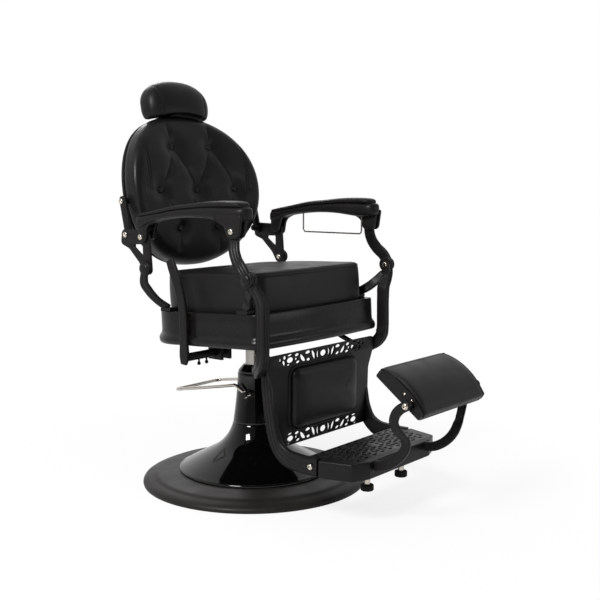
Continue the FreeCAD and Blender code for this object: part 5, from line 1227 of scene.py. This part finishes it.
# %% Dress the frame's pieces
OWN = {
    chrome: ["pump_pedal"],
    zinc: ["foot_studs"],
    hard_chrome: ["piston_rod"],
    bronze: ["thrust_washer"],
    iron: [
        "pump_cylinder", "flange_bolts", "swivel_hub", "seat_plate", "seat_rails", "lever_bracket",
        "lever_shaft", "lever_screws", "headrest_socket", "headrest_post", "pedal_studs",
    ],
    lacquer: ["gland_cap"],
    rubber: ["rod_seal", "rubber_feet"],
    plywood: ["seat_board", "headrest_board"],
    rear_vinyl: ["calf_board"],
    casting: ["calf_ends"],
}
for finish, names in OWN.items():
    for name in names:
        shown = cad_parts[name]
        shown.data.materials.clear()
        shown.data.materials.append(finish)
print("frame pieces dressed:", sum(len(names) for names in OWN.values()))

# %% [markdown]
# ## Studio floor and surround
# The chair stands on white. More light would whiten the ground but bleach the leather, so the floor and
# the surround answer by the kind of ray: white where the camera looks, graded where a glossy face mirrors
# them, which gives black metal its form, and weak as light. The floor is greyer near the chair, and keeps
# its shadow there.

# %% Floor
def by_ray(tree, direct, mirrored, other):
    """A level by the kind of ray: seen straight or through glass, seen in a mirror, or met by scattered
    light. The mix nodes' inputs are 0, the share, and 2 and 3, the two levels."""
    sight = add(tree, "ShaderNodeLightPath")
    straight = add(tree, "ShaderNodeMath", {
        0: sight.outputs["Is Camera Ray"], 1: sight.outputs["Is Transmission Ray"],
    }, operation="MAXIMUM")
    inner = add(tree, "ShaderNodeMix", {0: sight.outputs["Is Glossy Ray"], 2: other, 3: mirrored})
    return add(tree, "ShaderNodeMix", {0: straight.outputs[0], 2: inner.outputs[0], 3: direct}).outputs[0]


FLOOR_HALF = 9
floor_paint = bpy.data.materials.new("white_studio_floor")
tree = fresh_tree(floor_paint)
matte = add(tree, "ShaderNodeBsdfDiffuse", {"Color": paint("#f4f4f4")})
glow = add(tree, "ShaderNodeEmission", {"Color": paint("#ffffff"), "Strength": 1.0})
spot = add(tree, "ShaderNodeTexCoord").outputs["Object"]
reach = add(tree, "ShaderNodeVectorMath", {0: spot}, operation="LENGTH").outputs["Value"]
fade = add(tree, "ShaderNodeMapRange", {
    "Value": reach, "From Min": 0.35, "From Max": 1.1, "To Min": 0.8, "To Max": 1.0,
})
level = by_ray(tree, fade.outputs["Result"], 0.25, 0.0)
blend = add(tree, "ShaderNodeMixShader", {0: level, 1: matte.outputs[0], 2: glow.outputs[0]})
add(tree, "ShaderNodeOutputMaterial", {"Surface": blend.outputs[0]})
corners = [(x * FLOOR_HALF, y * FLOOR_HALF, 0) for x, y in ((-1, -1), (1, -1), (1, 1), (-1, 1))]
floor_mesh = bpy.data.meshes.new("studio_floor")
floor_mesh.from_pydata(corners, [], [(0, 1, 2, 3)])
floor_mesh.materials.append(floor_paint)
linked("studio_floor", floor_mesh)

# %% Surround
BRIGHT_SIDE = (0.5, 0.87, 0.0)
world = bpy.data.worlds.new("white_surround")
bpy.context.scene.world = world
tree = fresh_tree(world)
way = add(tree, "ShaderNodeTexCoord").outputs["Generated"]
toward = add(tree, "ShaderNodeVectorMath", {0: way, 1: BRIGHT_SIDE}, operation="DOT_PRODUCT")
graded = add(tree, "ShaderNodeMapRange", {
    "Value": toward.outputs["Value"], "From Min": -0.5, "From Max": 0.9, "To Min": 0.2, "To Max": 1.05,
})
power = by_ray(tree, 1.0, graded.outputs["Result"], 0.4)
sky = add(tree, "ShaderNodeBackground", {"Color": paint("#ffffff"), "Strength": power})
add(tree, "ShaderNodeOutputWorld", {"Surface": sky.outputs[0]})

# %% [markdown]
# ## Lamps and camera
# A large lamp high on the chair's right side models the tufts, a weak one lifts the far front, and one
# behind draws bright lines on the castings. The camera stands where the photograph was taken from.

# %% Lamps and camera
def aimed(way):
    """The turn that points a lamp or a camera along a direction, with its top up."""
    return Vector(way).to_track_quat("-Z", "Y").to_euler()


def lamp(name, place, aim, size, watts):
    """A square soft lamp at a place, turned to face a point."""
    light = bpy.data.lights.new(name, "AREA")
    light.size = size
    light.energy = watts
    made = linked(name, light)
    made.location = place
    made.rotation_euler = aimed(Vector(aim) - Vector(place))


lamp("key", (-2.7, -0.4, 2.5), (0, 0, 0.6), 0.9, 118)
lamp("front", (1.7, -2.6, 1.0), (0, -0.2, 0.5), 0.8, 6)
lamp("rim", (1.6, 2.4, 2.6), (0, 0.1, 0.8), 1.2, 22)
lens = bpy.data.cameras.new("photo_view")
lens.lens = 59.66
lens.sensor_width = 36
camera = linked("photo_view", lens)
camera.location = (-2.101, -1.8765, 0.8619)
camera.rotation_euler = aimed((0.7707, 0.6258, -0.1200))
bpy.context.scene.camera = camera
bpy.context.scene.view_settings.view_transform = "Standard"
print("lamps:", len(bpy.data.lights))
